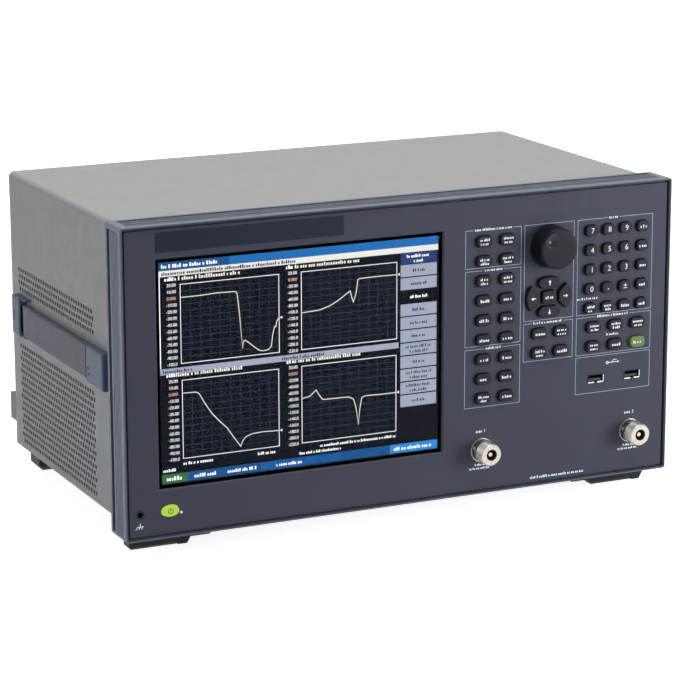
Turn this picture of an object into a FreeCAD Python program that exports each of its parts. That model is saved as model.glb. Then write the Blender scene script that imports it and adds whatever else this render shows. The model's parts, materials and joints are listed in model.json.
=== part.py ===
import FreeCAD, Part
import os
from math import cos, pi, radians, sin, tan
from FreeCAD import Vector

# Bench vector network analyzer, full rack width and five rack units high.
# Everything is drawn in millimetres from the middle of the front frame's lower front edge:
# +X to the viewer's right, +Y into the case, +Z up. save() then moves each node so that the
# origin lies under the middle of the whole instrument, on the surface that it stands on.

# ---- Driving dimensions --------------------------------------------------------------
FRAME_W = 432.0          # outside width of the front frame
FRAME_H = 221.0          # outside height of the front frame
FRAME_D = 28.5           # depth of the front frame
FOOT_H = 14.0            # the feet lift the frame by this
NOSE = 14.5              # the test ports stand this far ahead of the frame
REAR_END = 262.5         # back of the rear bumpers

PANEL_Y = 1.5            # the front panel's face, set back from the frame's lip
PANEL_T = 2.5
PANEL_BACK = PANEL_Y + PANEL_T
LIP = 0.9                # width of the frame's thin lip
PANEL_GAP = 0.1
RIM_Y = 0.4              # the panel's raised rim
RIM_IN = 1.8             # distance of the rim's inner edge from the frame's side
MOAT_IN = 3.3            # and of the groove's inner edge
MOAT_Y = 3.4             # bottom of the groove between the rim and the face

COVER_T = 1.2
COVER_INSET = 5.4        # cover's side, in from the frame's side
COVER_TOP = 219.6
COVER_BOTTOM = 9.4
COVER_R = 4.0
CASE_UNDERSIDE = COVER_BOTTOM + 0.6
TRAY_Z = CASE_UNDERSIDE + COVER_T
COVER_Y0 = FRAME_D + 0.3
COVER_Y1 = 246.0
SIDE_X = FRAME_W / 2 - COVER_INSET

HOLE_R = 1.85            # side ventilation holes
HOLE_PITCH_Y = 5.0
HOLE_PITCH_Z = 4.9
HOLES_PER_ROW = 32
HOLE_Y0 = 72.0
HOLE_Z0 = 16.0
LOWER_ROWS = range(0, 16)
UPPER_ROWS = range(24, 28)

# ---- Keys ----------------------------------------------------------------------------
KEY_PROUD = 3.0          # key faces stand this far out of the panel
KEY_TRAVEL = 1.2
KEY_GAP = 0.45           # clearance round a key in its panel hole
KEY_FACE = PANEL_Y - KEY_PROUD
KEY_FLANGE_Y = PANEL_BACK + 0.3
KEY_FLANGE_T = 1.0
KEY_FLANGE_OUT = 1.0
DOME_Y = KEY_FLANGE_Y + KEY_FLANGE_T + KEY_TRAVEL + 0.3
DOME_H = 0.8
DOME_R = 2.6
MAT_Y = DOME_Y + DOME_H
MAT_T = 2.0
BOARD_Y = MAT_Y + MAT_T + 0.2
BOARD_T = 1.6
KEYPAD_X = 124.0
KEYPAD_Z = 129.0
KEYPAD_W = 158.0
KEYPAD_H = 144.0
POST_R = 1.8
KEYPAD_POSTS = [(48.6, 60.8), (48.6, 197.2), (199.4, 197.2), (199.4, 92.0)]

ROW_TOP = 187.3          # height of the highest row of keys
ROW_PITCH = 14.45
SOFT_KEY = (12.2, 8.0, 3.2)      # width, height and corner radius of a function key
ENTRY_KEY = (9.6, 8.0, 3.0)
LEFT_COLUMNS = (60.65, 79.4)
MARKER_COLUMNS = (106.4, 124.6)
ENTRY_COLUMNS = (148.5, 162.85, 177.2, 191.7)
STATE_COLUMNS = (151.9, 170.4, 188.9)
NAV_X = 113.8
NAV_Z = 141.6
NAV_ENTER = (11.4, 9.8, 2.6)
NAV_OVAL = (37.2, 30.2)
# each arrow key: its direction, its distance from the middle, half its inner edge's length
# and its corner radius
NAV_WEDGES = {"key_up": (0, 1, 6.6, 5.8, 3.2), "key_down": (0, -1, 6.6, 5.8, 3.2),
              "key_left": (-1, 0, 7.9, 3.3, 1.6), "key_right": (1, 0, 7.9, 3.3, 1.6)}
ARROW_FLANGE_OUT = 0.35
POWER_KEY_AT = (-182.5, 19.1)
POWER_KEY_SIZE = (13.0, 8.2)
POWER_PROUD = 0.8

# ---- Knob and its encoder ------------------------------------------------------------
KNOB_X = 114.8
KNOB_Z = 179.2
KNOB_R = 16.2
KNOB_FRONT_R = 14.9
KNOB_FRONT = -13.0
KNOB_BACK = PANEL_Y - 0.6
SHAFT_R = 3.0
RUNNING_GAP = 0.05
BUSHING_R = 4.6
PANEL_KNOB_HOLE_R = 5.4
DIMPLE_AT = (-5.9, 6.3)
DIMPLE_R = 7.75
DIMPLE_AHEAD = 5.75      # the dimple's sphere is centred this far ahead of the knob

# ---- Display -------------------------------------------------------------------------
WINDOW_X = -80.9
WINDOW_Z = 115.9
WINDOW_W = 218.4
WINDOW_H = 161.8
WINDOW_BEVEL = 0.9       # slope round the opening's front edge
WINDOW_GAP = 0.3
WINDOW_T = 1.0
WINDOW_Y = PANEL_Y + 1.0
LCD_RIM = 2.2            # black rim that the window rests on
LCD_BODY_Y = PANEL_BACK
LCD_BODY_T = 9.0
LCD_MARGIN = 6.0

# ---- Connectors on the front panel ---------------------------------------------------
PORT_XS = (60.5, 185.0)
PORT_Z = 32.8
PORT_THREAD_R = 7.94     # 5/8-24 coupling thread
PORT_BORE_R = 4.2
PORT_BODY_R = 6.3
PORT_WASHER_R = 8.9
PORT_COLLAR_R = 8.5
PORT_COLLAR_Y = -4.0
PORT_NOTCH = (2.6, 1.1)  # width and depth of the wrench notches in the collar
PORT_CONTACT_R = 1.52
PORT_BEAD_R = 3.5
PORT_STEP_Y = -5.0       # depth at which the bore narrows to the insulator
PORT_BACK = 20.0
USB_XS = (155.1, 186.0)
USB_Z = 75.7
USB_W = 13.2
USB_H = 6.2
JACK_AT = (-204.9, 18.9)
JACK_BORE_R = 2.0
JACK_BODY_R = 2.8
JACK_FLANGE_R = 3.3

# ---- Handles -------------------------------------------------------------------------
HANDLE_Z = 113.6
HANDLE_OUT = FRAME_W / 2 + 1.2   # outer face of the end caps and the strap
STRAP_H = 23.6
STRAP_T = 3.6
STRAP_Y0 = 70.4
STRAP_Y1 = 207.0
TONGUE_LEN = 13.0
TONGUE_T = 1.8
TONGUE_H = 19.0
TONGUE_GAP = 1.2         # between the tongue and the case at rest
CAP_WALL = 1.2
FRONT_CAP = (37.3, 70.0)
FRONT_CAP_Z = (99.2, 125.8)
REAR_CAP = (212.7, 229.3)
REAR_CAP_Z = (100.2, 129.8)
CAP_WING = 9.7
CAP_WING_T = 1.2
CAP_DOTS = [(64.0, 105.9), (65.4, 110.0)]
CAP_DOT_R = 1.1
TONGUE_PLAY = 2.5        # free length beyond each tongue's tip

# ---- Feet and tilt legs --------------------------------------------------------------
FRONT_FOOT_X = (166.0, 204.5)
FRONT_FOOT_Y = (25.0, 36.0)
REAR_FOOT_X = (170.0, 196.0)
REAR_FOOT_Y = (238.0, 258.0)
FOOT_PLATE_Y = (18.0, 62.0)
FOOT_PLATE_X = (146.0, 196.0)
FOOT_PLATE_T = 7.0
LEG_AXIS_Y = 67.0
LEG_AXIS_Z = -4.0
LEG_PIN_R = 1.5
LEG_LENGTH = 36.0
LEG_X = (152.5, 177.5)   # inner and outer side of a leg
EAR_T = 6.0
EAR_GAP = 0.5

# ---- Inside and rear -----------------------------------------------------------------
REAR_PANEL_Y = COVER_Y1 - 4.5
REAR_PANEL_T = 1.5
REAR_FACE = REAR_PANEL_Y + REAR_PANEL_T
FAN_X = -120.0
FAN_Z = 128.0
FAN_SIZE = 92.0
FAN_T = 25.0
FAN_DUCT_R = 43.0
INLET_X = 150.0
INLET_Z = 58.0
BNC_XS = (-30.0, -8.0, 14.0, 36.0)
BNC_Z = 168.0
SCREW_R = 1.5


# ---- Small helpers -------------------------------------------------------------------
def box(x0, x1, y0, y1, z0, z1):
    return Part.makeBox(x1 - x0, y1 - y0, z1 - z0, Vector(x0, y0, z0))


def rod(x, z, radius, y0, y1):
    """A cylinder that runs front to back."""
    return Part.makeCylinder(radius, y1 - y0, Vector(x, y0, z), Vector(0, 1, 0))


def fuse(shapes):
    return shapes[0].multiFuse(shapes[1:]).removeSplitter()


def mirrored(shape):
    """The same piece on the other side of the instrument."""
    return shape.mirror(Vector(0, 0, 0), Vector(1, 0, 0))


def both_sides(shape):
    return [shape, mirrored(shape)]


def rounded_face(x, z, width, height, radius, y):
    """A rectangle with round corners, facing front to back."""
    half_w = width / 2 - radius
    half_h = height / 2 - radius
    corners = [(1, 1, 0), (-1, 1, 90), (-1, -1, 180), (1, -1, 270)]
    edges = []
    last = None
    first = None
    for sx, sz, start in corners:
        centre = Vector(x + sx * half_w, y, z + sz * half_h)
        angles = [radians(start + step) for step in (0, 45, 90)]
        points = [centre + Vector(radius * cos(a), 0, radius * sin(a)) for a in angles]
        if last is None:
            first = points[0]
        elif (last - points[0]).Length > 1e-6:
            edges.append(Part.LineSegment(last, points[0]).toShape())
        edges.append(Part.Arc(*points).toShape())
        last = points[2]
    if (last - first).Length > 1e-6:
        edges.append(Part.LineSegment(last, first).toShape())
    return Part.Face(Part.Wire(edges))


def rounded_block(x, z, width, height, radius, y0, y1):
    return rounded_face(x, z, width, height, radius, y0).extrude(Vector(0, y1 - y0, 0))


def oval_block(x, z, width, height, y0, y1):
    """An elliptical block, seen from the front."""
    centre = Vector(x, y0, z)
    across = centre + Vector(width / 2, 0, 0)
    upright = centre + Vector(0, 0, height / 2)
    major, minor = (across, upright) if width > height else (upright, across)
    edge = Part.Ellipse(major, minor, centre).toShape()
    return Part.Face(Part.Wire([edge])).extrude(Vector(0, y1 - y0, 0))


def turned(x, z, profile):
    """A body of revolution about a front-to-back axis; profile is (radius, y) pairs."""
    points = [Vector(x + r, y, z) for r, y in profile]
    face = Part.Face(Part.makePolygon(points + points[:1]))
    return face.revolve(Vector(x, 0, z), Vector(0, 1, 0), 360)


def edges_at_y(shape, y):
    return [e for e in shape.Edges if all(abs(v.Y - y) < 1e-6 for v in e.Vertexes)]


def save(name, shapes):
    """Write one node, moved to the instrument's own origin."""
    shape = shapes if isinstance(shapes, Part.Shape) else Part.makeCompound(shapes)
    placed = shape.copy()
    placed.translate(Vector(0, (NOSE - REAR_END) / 2, FOOT_H))
    bad = [s for s in placed.Solids if not s.isValid()]
    print(name, len(placed.Solids), "solids", round(placed.Volume / 1000, 2), "cm3", "BAD" if bad else "")
    placed.exportStep("parts/" + name + ".step")


def row_z(row):
    return ROW_TOP - row * ROW_PITCH


# ---- Case ----------------------------------------------------------------------------
FRAME_R = 2.0
FRAME_WALL = 7.8
FRAME_DECK = 4.2
TRIM_Y = (4.4, 20.5)
TRIM_Z = (3.4, 216.6)
TRIM_X = 209.0           # the top trim reaches this far to each side
TRIM_T = 1.6
TRIM_PLAY = 0.2
GROOVE_END = 25.5
SIDE_GROOVE_DEPTH = 6.0
TOP_GROOVE_DEPTH = 2.6
RIB_PITCH = 2.5
RIB_GAP = 0.7
RIB_DEPTH = 0.9


def rib_gaps(x0, x1, z0, z1):
    """Slots that run along a trim and leave its ribs standing."""
    count = int((TRIM_Y[1] - TRIM_Y[0]) / RIB_PITCH)
    first = TRIM_Y[0] + RIB_PITCH - RIB_GAP / 2
    starts = [first + RIB_PITCH * k for k in range(count - 1)]
    return Part.makeCompound([box(x0, x1, y, y + RIB_GAP, z0, z1) for y in starts])


def make_frame():
    """A cast ring with a pocket for the panel and a channel for the trims round it."""
    middle = FRAME_H / 2
    side = FRAME_W / 2
    ring = rounded_block(0, middle, FRAME_W, FRAME_H, FRAME_R, 0, FRAME_D)
    ring = softened(ring, 0, 0.5)
    pocket = rounded_block(0, middle, FRAME_W - 2 * LIP, FRAME_H - 2 * LIP, FRAME_R - LIP, -1, PANEL_BACK)
    inside = rounded_block(0, middle, FRAME_W - 2 * FRAME_WALL, FRAME_H - 2 * FRAME_DECK, FRAME_R,
                           -1, FRAME_D + 1)
    front = TRIM_Y[0] - TRIM_PLAY
    back = TRIM_Y[1] + TRIM_PLAY
    low = TRIM_Z[0] - TRIM_PLAY
    high = TRIM_Z[1] + TRIM_PLAY
    wide = TRIM_X + TRIM_PLAY
    channel = box(-side - 1, -side + TRIM_T, front, GROOVE_END, low, high)
    groove = box(-side - 1, -side + SIDE_GROOVE_DEPTH, back, GROOVE_END, low, high)
    top_channel = box(-wide, wide, front, GROOVE_END, FRAME_H - TRIM_T, FRAME_H + 1)
    top_groove = box(-wide, wide, back, GROOVE_END, FRAME_H - TOP_GROOVE_DEPTH, FRAME_H + 1)
    cuts = [pocket, inside, top_channel, top_groove] + both_sides(channel) + both_sides(groove)
    save("front_frame", ring.cut(Part.makeCompound(cuts)))

    strip = box(-side, -side + TRIM_T, TRIM_Y[0], TRIM_Y[1], TRIM_Z[0], TRIM_Z[1])
    strip = strip.cut(rib_gaps(-side - 1, -side + RIB_DEPTH, TRIM_Z[0] - 1, TRIM_Z[1] + 1))
    top = box(-TRIM_X, TRIM_X, TRIM_Y[0], TRIM_Y[1], FRAME_H - TRIM_T, FRAME_H)
    top = top.cut(rib_gaps(-TRIM_X - 1, TRIM_X + 1, FRAME_H - RIB_DEPTH, FRAME_H + 1))
    save("trim_strips", both_sides(strip) + [top])


def vent_holes():
    """Staggered rows of round holes; each cylinder passes through both sides of the cover."""
    holes = []
    for row in list(LOWER_ROWS) + list(UPPER_ROWS):
        z = HOLE_Z0 + row * HOLE_PITCH_Z
        for column in range(HOLES_PER_ROW):
            y = HOLE_Y0 + column * HOLE_PITCH_Y + (row % 2) * HOLE_PITCH_Y / 2
            start = Vector(-SIDE_X - 1, y, z)
            holes.append(Part.makeCylinder(HOLE_R, 2 * SIDE_X + 2, start, Vector(1, 0, 0)))
    return holes


def make_covers():
    height = COVER_TOP - COVER_BOTTOM
    outer = rounded_block(0, COVER_BOTTOM + height / 2, 2 * SIDE_X, height, COVER_R, COVER_Y0, COVER_Y1)
    inner_r = COVER_R - COVER_T
    inner = rounded_block(0, COVER_BOTTOM + height / 2, 2 * (SIDE_X - COVER_T), height - 2 * COVER_T,
                          inner_r, COVER_Y0 - 1, COVER_Y1 + 1)
    below = box(-SIDE_X - 1, SIDE_X + 1, COVER_Y0 - 1, COVER_Y1 + 1, 0, COVER_BOTTOM + COVER_R)
    top = outer.cut(inner).cut(below)
    side_strip = box(-SIDE_X, -SIDE_X + COVER_T, COVER_Y0, COVER_Y1, COVER_BOTTOM, COVER_BOTTOM + COVER_R)
    top = fuse([top] + both_sides(side_strip))
    save("top_cover", top.cut(Part.makeCompound(vent_holes())))

    reach = SIDE_X - COVER_T
    save("bottom_cover", box(-reach, reach, COVER_Y0, COVER_Y1, CASE_UNDERSIDE, TRAY_Z))


CHASSIS_X = 204.0
CHASSIS_T = 1.5
BULKHEAD_Y = (FRAME_D + 1.0, FRAME_D + 2.5)
BULKHEAD_TOP = 212.0
BOARD_STANDOFF = 8.0
STANDOFFS = [(-185, 60), (-185, 190), (5, 60), (5, 190)]
BRACKET_ZS = (60.0, 170.0)


def make_chassis():
    """Sheet-metal tray with an upright bulkhead behind the frame, open for the cables."""
    deck = TRAY_Z + CHASSIS_T
    tray = box(-CHASSIS_X, CHASSIS_X, BULKHEAD_Y[0], REAR_PANEL_Y - 0.5, TRAY_Z, deck)
    wall = box(-CHASSIS_X, CHASSIS_X, BULKHEAD_Y[0], BULKHEAD_Y[1], deck, BULKHEAD_TOP)
    openings = [rounded_block(-85, 125, 190, 130, 8, BULKHEAD_Y[0] - 1, BULKHEAD_Y[1] + 1)]
    openings.append(rounded_block(118, 130, 150, 120, 8, BULKHEAD_Y[0] - 1, BULKHEAD_Y[1] + 1))
    openings += [rod(x, PORT_Z, 5.0, BULKHEAD_Y[0] - 1, BULKHEAD_Y[1] + 1) for x in PORT_XS]
    posts = [Part.makeCylinder(3.0, BOARD_STANDOFF, Vector(x, y, deck)) for x, y in STANDOFFS]
    brackets = []
    for z in BRACKET_ZS:
        on_frame = box(-FRAME_W / 2 + FRAME_WALL, -CHASSIS_X - 2, FRAME_D - 16, FRAME_D, z - 9, z + 9)
        on_wall = box(-CHASSIS_X - 4, -CHASSIS_X + 2, FRAME_D - 4, BULKHEAD_Y[1], z - 9, z + 9)
        brackets += both_sides(on_frame) + both_sides(on_wall)
    save("chassis", fuse([tray, wall.cut(Part.makeCompound(openings))] + posts + brackets))


# ---- Front panel ---------------------------------------------------------------------
TITLE_W = 140.5
TITLE_H = 13.8
TITLE_T = 0.3
TITLE_Z = 208.6


def key_places():
    """Every rectangular key: name, x, z and (width, height, corner radius)."""
    places = []
    groups = [("channel_keys", 0, 2), ("response_keys", 2, 6), ("stimulus_keys", 6, 9)]
    for name, first, end in groups:
        for row in range(first, end):
            places += [(name, x, row_z(row), SOFT_KEY) for x in LEFT_COLUMNS]
    for row in (5, 6):
        places += [("marker_keys", x, row_z(row), SOFT_KEY) for x in MARKER_COLUMNS]
        places += [("state_keys", x, row_z(row), SOFT_KEY) for x in STATE_COLUMNS[:2]]
    places.append(("state_keys", STATE_COLUMNS[2], row_z(5), SOFT_KEY))
    places.append(("preset_key", STATE_COLUMNS[2], row_z(6), SOFT_KEY))
    digits = [("key_7", "key_8", "key_9"), ("key_4", "key_5", "key_6"), ("key_1", "key_2", "key_3"),
              ("key_0", "key_point", "key_sign")]
    for row, names in enumerate(digits):
        places += [(name, x, row_z(row), ENTRY_KEY) for name, x in zip(names, ENTRY_COLUMNS)]
        places.append(("unit_keys", ENTRY_COLUMNS[3], row_z(row), ENTRY_KEY))
    places += [("edit_keys", x, row_z(4), ENTRY_KEY) for x in ENTRY_COLUMNS]
    places.append(("key_enter", NAV_X, NAV_Z, NAV_ENTER))
    return places


def arrow_outlines(grow, y0, y1):
    """The four arrow keys: wedges of one oval round the enter key, each grown by a clearance."""
    oval = oval_block(NAV_X, NAV_Z, NAV_OVAL[0] + 2 * grow, NAV_OVAL[1] + 2 * grow, y0, y1)
    outlines = {}
    for name, (dx, dz, inner, half, corner) in NAV_WEDGES.items():
        near = inner - grow
        side = half + grow * tan(pi / 8)
        far = NAV_OVAL[0]
        spread = side + far - near
        corners = [(near, -side), (far, -spread), (far, spread), (near, side), (near, -side)]
        points = [Vector(NAV_X + dx * out + dz * across, y0, NAV_Z + dz * out + dx * across)
                  for out, across in corners]
        wedge = Part.Face(Part.makePolygon(points)).extrude(Vector(0, y1 - y0, 0))
        outlines[name] = rounded_corners(oval.common(wedge), corner + grow)
    return outlines


def rounded_corners(shape, radius):
    """Fillet the edges that run front to back."""
    deep = [e for e in shape.Edges if e.BoundBox.XLength < 1e-4 and e.BoundBox.ZLength < 1e-4]
    return shape.makeFillet(radius, deep)


def softened(shape, y, radius):
    return shape.makeFillet(radius, edges_at_y(shape, y))


def keycap(x, z, size):
    width, height, radius = size
    cap = rounded_block(x, z, width, height, radius, KEY_FACE, KEY_FLANGE_Y)
    cap = softened(cap, KEY_FACE, 0.7)
    out = 2 * KEY_FLANGE_OUT
    flange = rounded_block(x, z, width + out, height + out, radius + KEY_FLANGE_OUT,
                           KEY_FLANGE_Y, KEY_FLANGE_Y + KEY_FLANGE_T)
    return fuse([cap, flange])


def make_keys():
    nodes = {}
    for name, x, z, size in key_places():
        nodes.setdefault(name, []).append(keycap(x, z, size))
    caps = arrow_outlines(0, KEY_FACE, KEY_FLANGE_Y)
    flanges = arrow_outlines(ARROW_FLANGE_OUT, KEY_FLANGE_Y, KEY_FLANGE_Y + KEY_FLANGE_T)
    for name, cap in caps.items():
        nodes[name] = [fuse([softened(cap, KEY_FACE, 0.6), flanges[name]])]
    x, z = POWER_KEY_AT
    width, height = POWER_KEY_SIZE
    cap = oval_block(x, z, width, height, PANEL_Y - POWER_PROUD, KEY_FLANGE_Y)
    flange = oval_block(x, z, width + 2, height + 2, KEY_FLANGE_Y, KEY_FLANGE_Y + KEY_FLANGE_T)
    nodes["power_key"] = [fuse([softened(cap, PANEL_Y - POWER_PROUD, 0.7), flange])]
    for name, caps in nodes.items():
        save(name, caps)


def inset_block(inset, radius, y0, y1):
    """A block as large as the frame's outline, less an inset all round."""
    return rounded_block(0, FRAME_H / 2, FRAME_W - 2 * inset, FRAME_H - 2 * inset, radius, y0, y1)


def panel_blank():
    """The panel's skin: a thin raised rim, a groove inside it and the flat face."""
    outer_r = FRAME_R - LIP
    panel = inset_block(LIP + PANEL_GAP, outer_r, RIM_Y, PANEL_BACK)
    face = inset_block(RIM_IN, outer_r, RIM_Y - 1, PANEL_Y)
    moat = inset_block(RIM_IN, outer_r, RIM_Y - 1, MOAT_Y)
    island = inset_block(MOAT_IN, outer_r, RIM_Y - 2, PANEL_BACK)
    return panel.cut(face).cut(moat.cut(island))


def window_opening():
    """The display's opening with sloping front edges."""
    hole = rounded_block(WINDOW_X, WINDOW_Z, WINDOW_W, WINDOW_H, 1.0, PANEL_Y, PANEL_BACK + 1)
    wide = rounded_block(WINDOW_X, WINDOW_Z, WINDOW_W + 2 * WINDOW_BEVEL, WINDOW_H + 2 * WINDOW_BEVEL,
                         1.0 + WINDOW_BEVEL, PANEL_Y, PANEL_Y + WINDOW_BEVEL)
    wide = wide.makeChamfer(WINDOW_BEVEL - 0.01, edges_at_y(wide, PANEL_Y + WINDOW_BEVEL))
    return fuse([hole, wide])


def make_panel():
    panel = panel_blank()
    y0 = PANEL_Y - 1
    y1 = PANEL_BACK + 1
    gap = 2 * KEY_GAP
    cuts = [window_opening()]
    for _, x, z, (w, h, r) in key_places():
        cuts.append(rounded_block(x, z, w + gap, h + gap, r + KEY_GAP, y0, y1))
    cuts += list(arrow_outlines(KEY_GAP, y0, y1).values())
    cuts.append(oval_block(*POWER_KEY_AT, POWER_KEY_SIZE[0] + gap, POWER_KEY_SIZE[1] + gap, y0, y1))
    cuts.append(rod(KNOB_X, KNOB_Z, PANEL_KNOB_HOLE_R, y0, y1))
    cuts += [rod(x, PORT_Z, PORT_BODY_R + 0.3, y0, y1) for x in PORT_XS]
    cuts += [rounded_block(x, USB_Z, USB_W + 0.6, USB_H + 0.6, 0.6, y0, y1) for x in USB_XS]
    cuts.append(rod(*JACK_AT, JACK_BODY_R + 0.2, y0, y1))
    save("front_panel", panel.cut(Part.makeCompound(cuts)))

    strip_x = WINDOW_X - WINDOW_W / 2 + TITLE_W / 2
    save("title_strip", rounded_block(strip_x, TITLE_Z, TITLE_W, TITLE_H, 0.5, PANEL_Y - TITLE_T, PANEL_Y))


def make_display():
    w = WINDOW_W - 2 * WINDOW_GAP
    h = WINDOW_H - 2 * WINDOW_GAP
    back = WINDOW_Y + WINDOW_T
    save("display_window", rounded_block(WINDOW_X, WINDOW_Z, w, h, 0.8, WINDOW_Y, back))
    raised = rounded_block(WINDOW_X, WINDOW_Z, w, h, 0.8, back, LCD_BODY_Y)
    well = box(WINDOW_X - w / 2 + LCD_RIM, WINDOW_X + w / 2 - LCD_RIM, back - 1, LCD_BODY_Y,
               WINDOW_Z - h / 2 + LCD_RIM, WINDOW_Z + h / 2 - LCD_RIM)
    body = rounded_block(WINDOW_X, WINDOW_Z, w + 2 * LCD_MARGIN, h + 2 * LCD_MARGIN, 2.0,
                         LCD_BODY_Y, LCD_BODY_Y + LCD_BODY_T)
    save("display_module", fuse([raised.cut(well), body]))


def keypad_sheet(y0, y1, corner):
    """Outline shared by the mat and its board, notched over the host sockets."""
    sheet = rounded_block(KEYPAD_X, KEYPAD_Z, KEYPAD_W, KEYPAD_H, corner, y0, y1)
    edge_x = KEYPAD_X + KEYPAD_W / 2
    edge_z = KEYPAD_Z - KEYPAD_H / 2
    return sheet.cut(box(edge_x - 64, edge_x + 1, y0 - 1, y1 + 1, edge_z - 1, edge_z + 31))


def make_keypad():
    """Rubber mat with a dome under each key, and the board behind it with the knob's encoder."""
    spots = [(x, z) for _, x, z, _ in key_places()]
    spots += [(NAV_X + dx, NAV_Z + dz) for dx, dz in ((0, 10.5), (0, -10.5), (13, 0), (-13, 0))]
    domes = [rod(x, z, DOME_R, DOME_Y, MAT_Y) for x, z in spots]
    holes = [rod(x, z, POST_R + 0.3, DOME_Y, BOARD_Y) for x, z in KEYPAD_POSTS]
    holes.append(rod(KNOB_X, KNOB_Z, BUSHING_R + 0.4, DOME_Y, BOARD_Y))
    mat = fuse([keypad_sheet(MAT_Y, MAT_Y + MAT_T, 3.0)] + domes)
    save("keypad_mat", mat.cut(Part.makeCompound(holes)))

    board_back = BOARD_Y + BOARD_T
    encoder = rounded_block(KNOB_X, KNOB_Z, 15.0, 13.0, 1.0, board_back, board_back + 7)
    bushing = rod(KNOB_X, KNOB_Z, BUSHING_R, PANEL_Y, board_back)
    bore = rod(KNOB_X, KNOB_Z, SHAFT_R + RUNNING_GAP, PANEL_Y - 1, board_back + 5)
    posts = [rod(x, z, POST_R, PANEL_BACK, BOARD_Y) for x, z in KEYPAD_POSTS]
    board = fuse([keypad_sheet(BOARD_Y, board_back, 1.0), encoder, bushing] + posts)
    save("keypad_board", board.cut(bore))


def make_knob():
    """Tapered knob with an off-centre finger dimple, in one piece with its shaft."""
    rim = [(0, KNOB_FRONT), (KNOB_FRONT_R, KNOB_FRONT), (KNOB_R, KNOB_BACK - 1),
           (KNOB_R - 0.6, KNOB_BACK), (0, KNOB_BACK)]
    body = softened(turned(KNOB_X, KNOB_Z, rim), KNOB_FRONT, 1.6)
    at_x, at_z = DIMPLE_AT
    dimple = Part.makeSphere(DIMPLE_R, Vector(KNOB_X + at_x, KNOB_FRONT - DIMPLE_AHEAD, KNOB_Z + at_z))
    shaft = rod(KNOB_X, KNOB_Z, SHAFT_R, KNOB_BACK - 2, BOARD_Y + BOARD_T + 4)
    save("knob", fuse([body.cut(dimple), shaft]))


# ---- Front connectors ----------------------------------------------------------------
def port_connector(x):
    """Panel-mount coaxial socket: notched collar, washer, coupling thread and a stepped bore."""
    front = -NOSE
    washer = PANEL_Y - 0.6
    neck_r = PORT_THREAD_R - 0.6
    neck = PORT_COLLAR_Y - 0.8
    chamfer = 0.5
    profile = [(PORT_BORE_R, front), (PORT_THREAD_R - chamfer, front), (PORT_THREAD_R, front + chamfer),
               (PORT_THREAD_R, neck), (neck_r, neck), (neck_r, PORT_COLLAR_Y), (PORT_COLLAR_R, PORT_COLLAR_Y),
               (PORT_COLLAR_R, washer), (PORT_WASHER_R, washer), (PORT_WASHER_R, PANEL_Y),
               (PORT_BODY_R, PANEL_Y), (PORT_BODY_R, PORT_BACK), (PORT_BEAD_R, PORT_BACK),
               (PORT_BEAD_R, PORT_STEP_Y), (PORT_BORE_R, PORT_STEP_Y)]
    width, depth = PORT_NOTCH
    notches = []
    for turn in (0, 90, 180, 270):
        notch = box(x - width / 2, x + width / 2, PORT_COLLAR_Y - 1, PORT_COLLAR_Y + 3,
                    PORT_Z + PORT_COLLAR_R - depth, PORT_Z + PORT_COLLAR_R + 1)
        notch.rotate(Vector(x, 0, PORT_Z), Vector(0, 1, 0), turn + 20)
        notches.append(notch)
    return turned(x, PORT_Z, profile).cut(Part.makeCompound(notches))


def make_ports():
    save("port_1_connector", port_connector(PORT_XS[0]))
    save("port_2_connector", port_connector(PORT_XS[1]))
    beads = [rod(x, PORT_Z, PORT_BEAD_R, -4, 2).cut(rod(x, PORT_Z, PORT_CONTACT_R, -5, 3))
             for x in PORT_XS]
    save("port_insulators", beads)
    save("port_contacts", [rod(x, PORT_Z, PORT_CONTACT_R, -12.5, PORT_BACK - 1) for x in PORT_XS])


def make_usb_sockets():
    sockets = []
    for x in USB_XS:
        shell = rounded_block(x, USB_Z, USB_W, USB_H, 0.5, PANEL_Y - 0.3, PANEL_Y + 14)
        cavity = rounded_block(x, USB_Z, USB_W - 0.7, USB_H - 0.7, 0.3, PANEL_Y - 1, PANEL_Y + 12.5)
        tongue = box(x - 5.6, x + 5.6, PANEL_Y + 1.2, PANEL_Y + 13, USB_Z - 1.9, USB_Z - 0.1)
        sockets.append(fuse([shell.cut(cavity), tongue]))
    save("usb_sockets", sockets)


def make_ground_jack():
    face = PANEL_Y - 0.2
    back = PANEL_Y + 13
    profile = [(JACK_BORE_R, face), (JACK_FLANGE_R, face), (JACK_FLANGE_R, PANEL_Y), (JACK_BODY_R, PANEL_Y),
               (JACK_BODY_R, back), (0, back), (0, back - 1.5), (JACK_BORE_R, back - 1.5)]
    save("ground_jack", turned(*JACK_AT, profile))


# ---- Handles -------------------------------------------------------------------------
def end_cap(y0, y1, z0, z1, mouth_y, tongue_end):
    """A hollow block on the case's side; the strap's tongue slides in its pocket."""
    block = box(-HANDLE_OUT, -SIDE_X, y0, y1, z0, z1)
    outer = [e for e in block.Edges if all(abs(v.X + HANDLE_OUT) < 1e-6 for v in e.Vertexes)]
    block = block.makeFillet(1.4, outer)
    near = min(mouth_y, tongue_end)
    far = max(mouth_y, tongue_end)
    pocket = box(-HANDLE_OUT + CAP_WALL, -SIDE_X + 1.0, near, far,
                 HANDLE_Z - TONGUE_H / 2 - 0.4, HANDLE_Z + TONGUE_H / 2 + 0.4)
    return block.cut(pocket)


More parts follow.
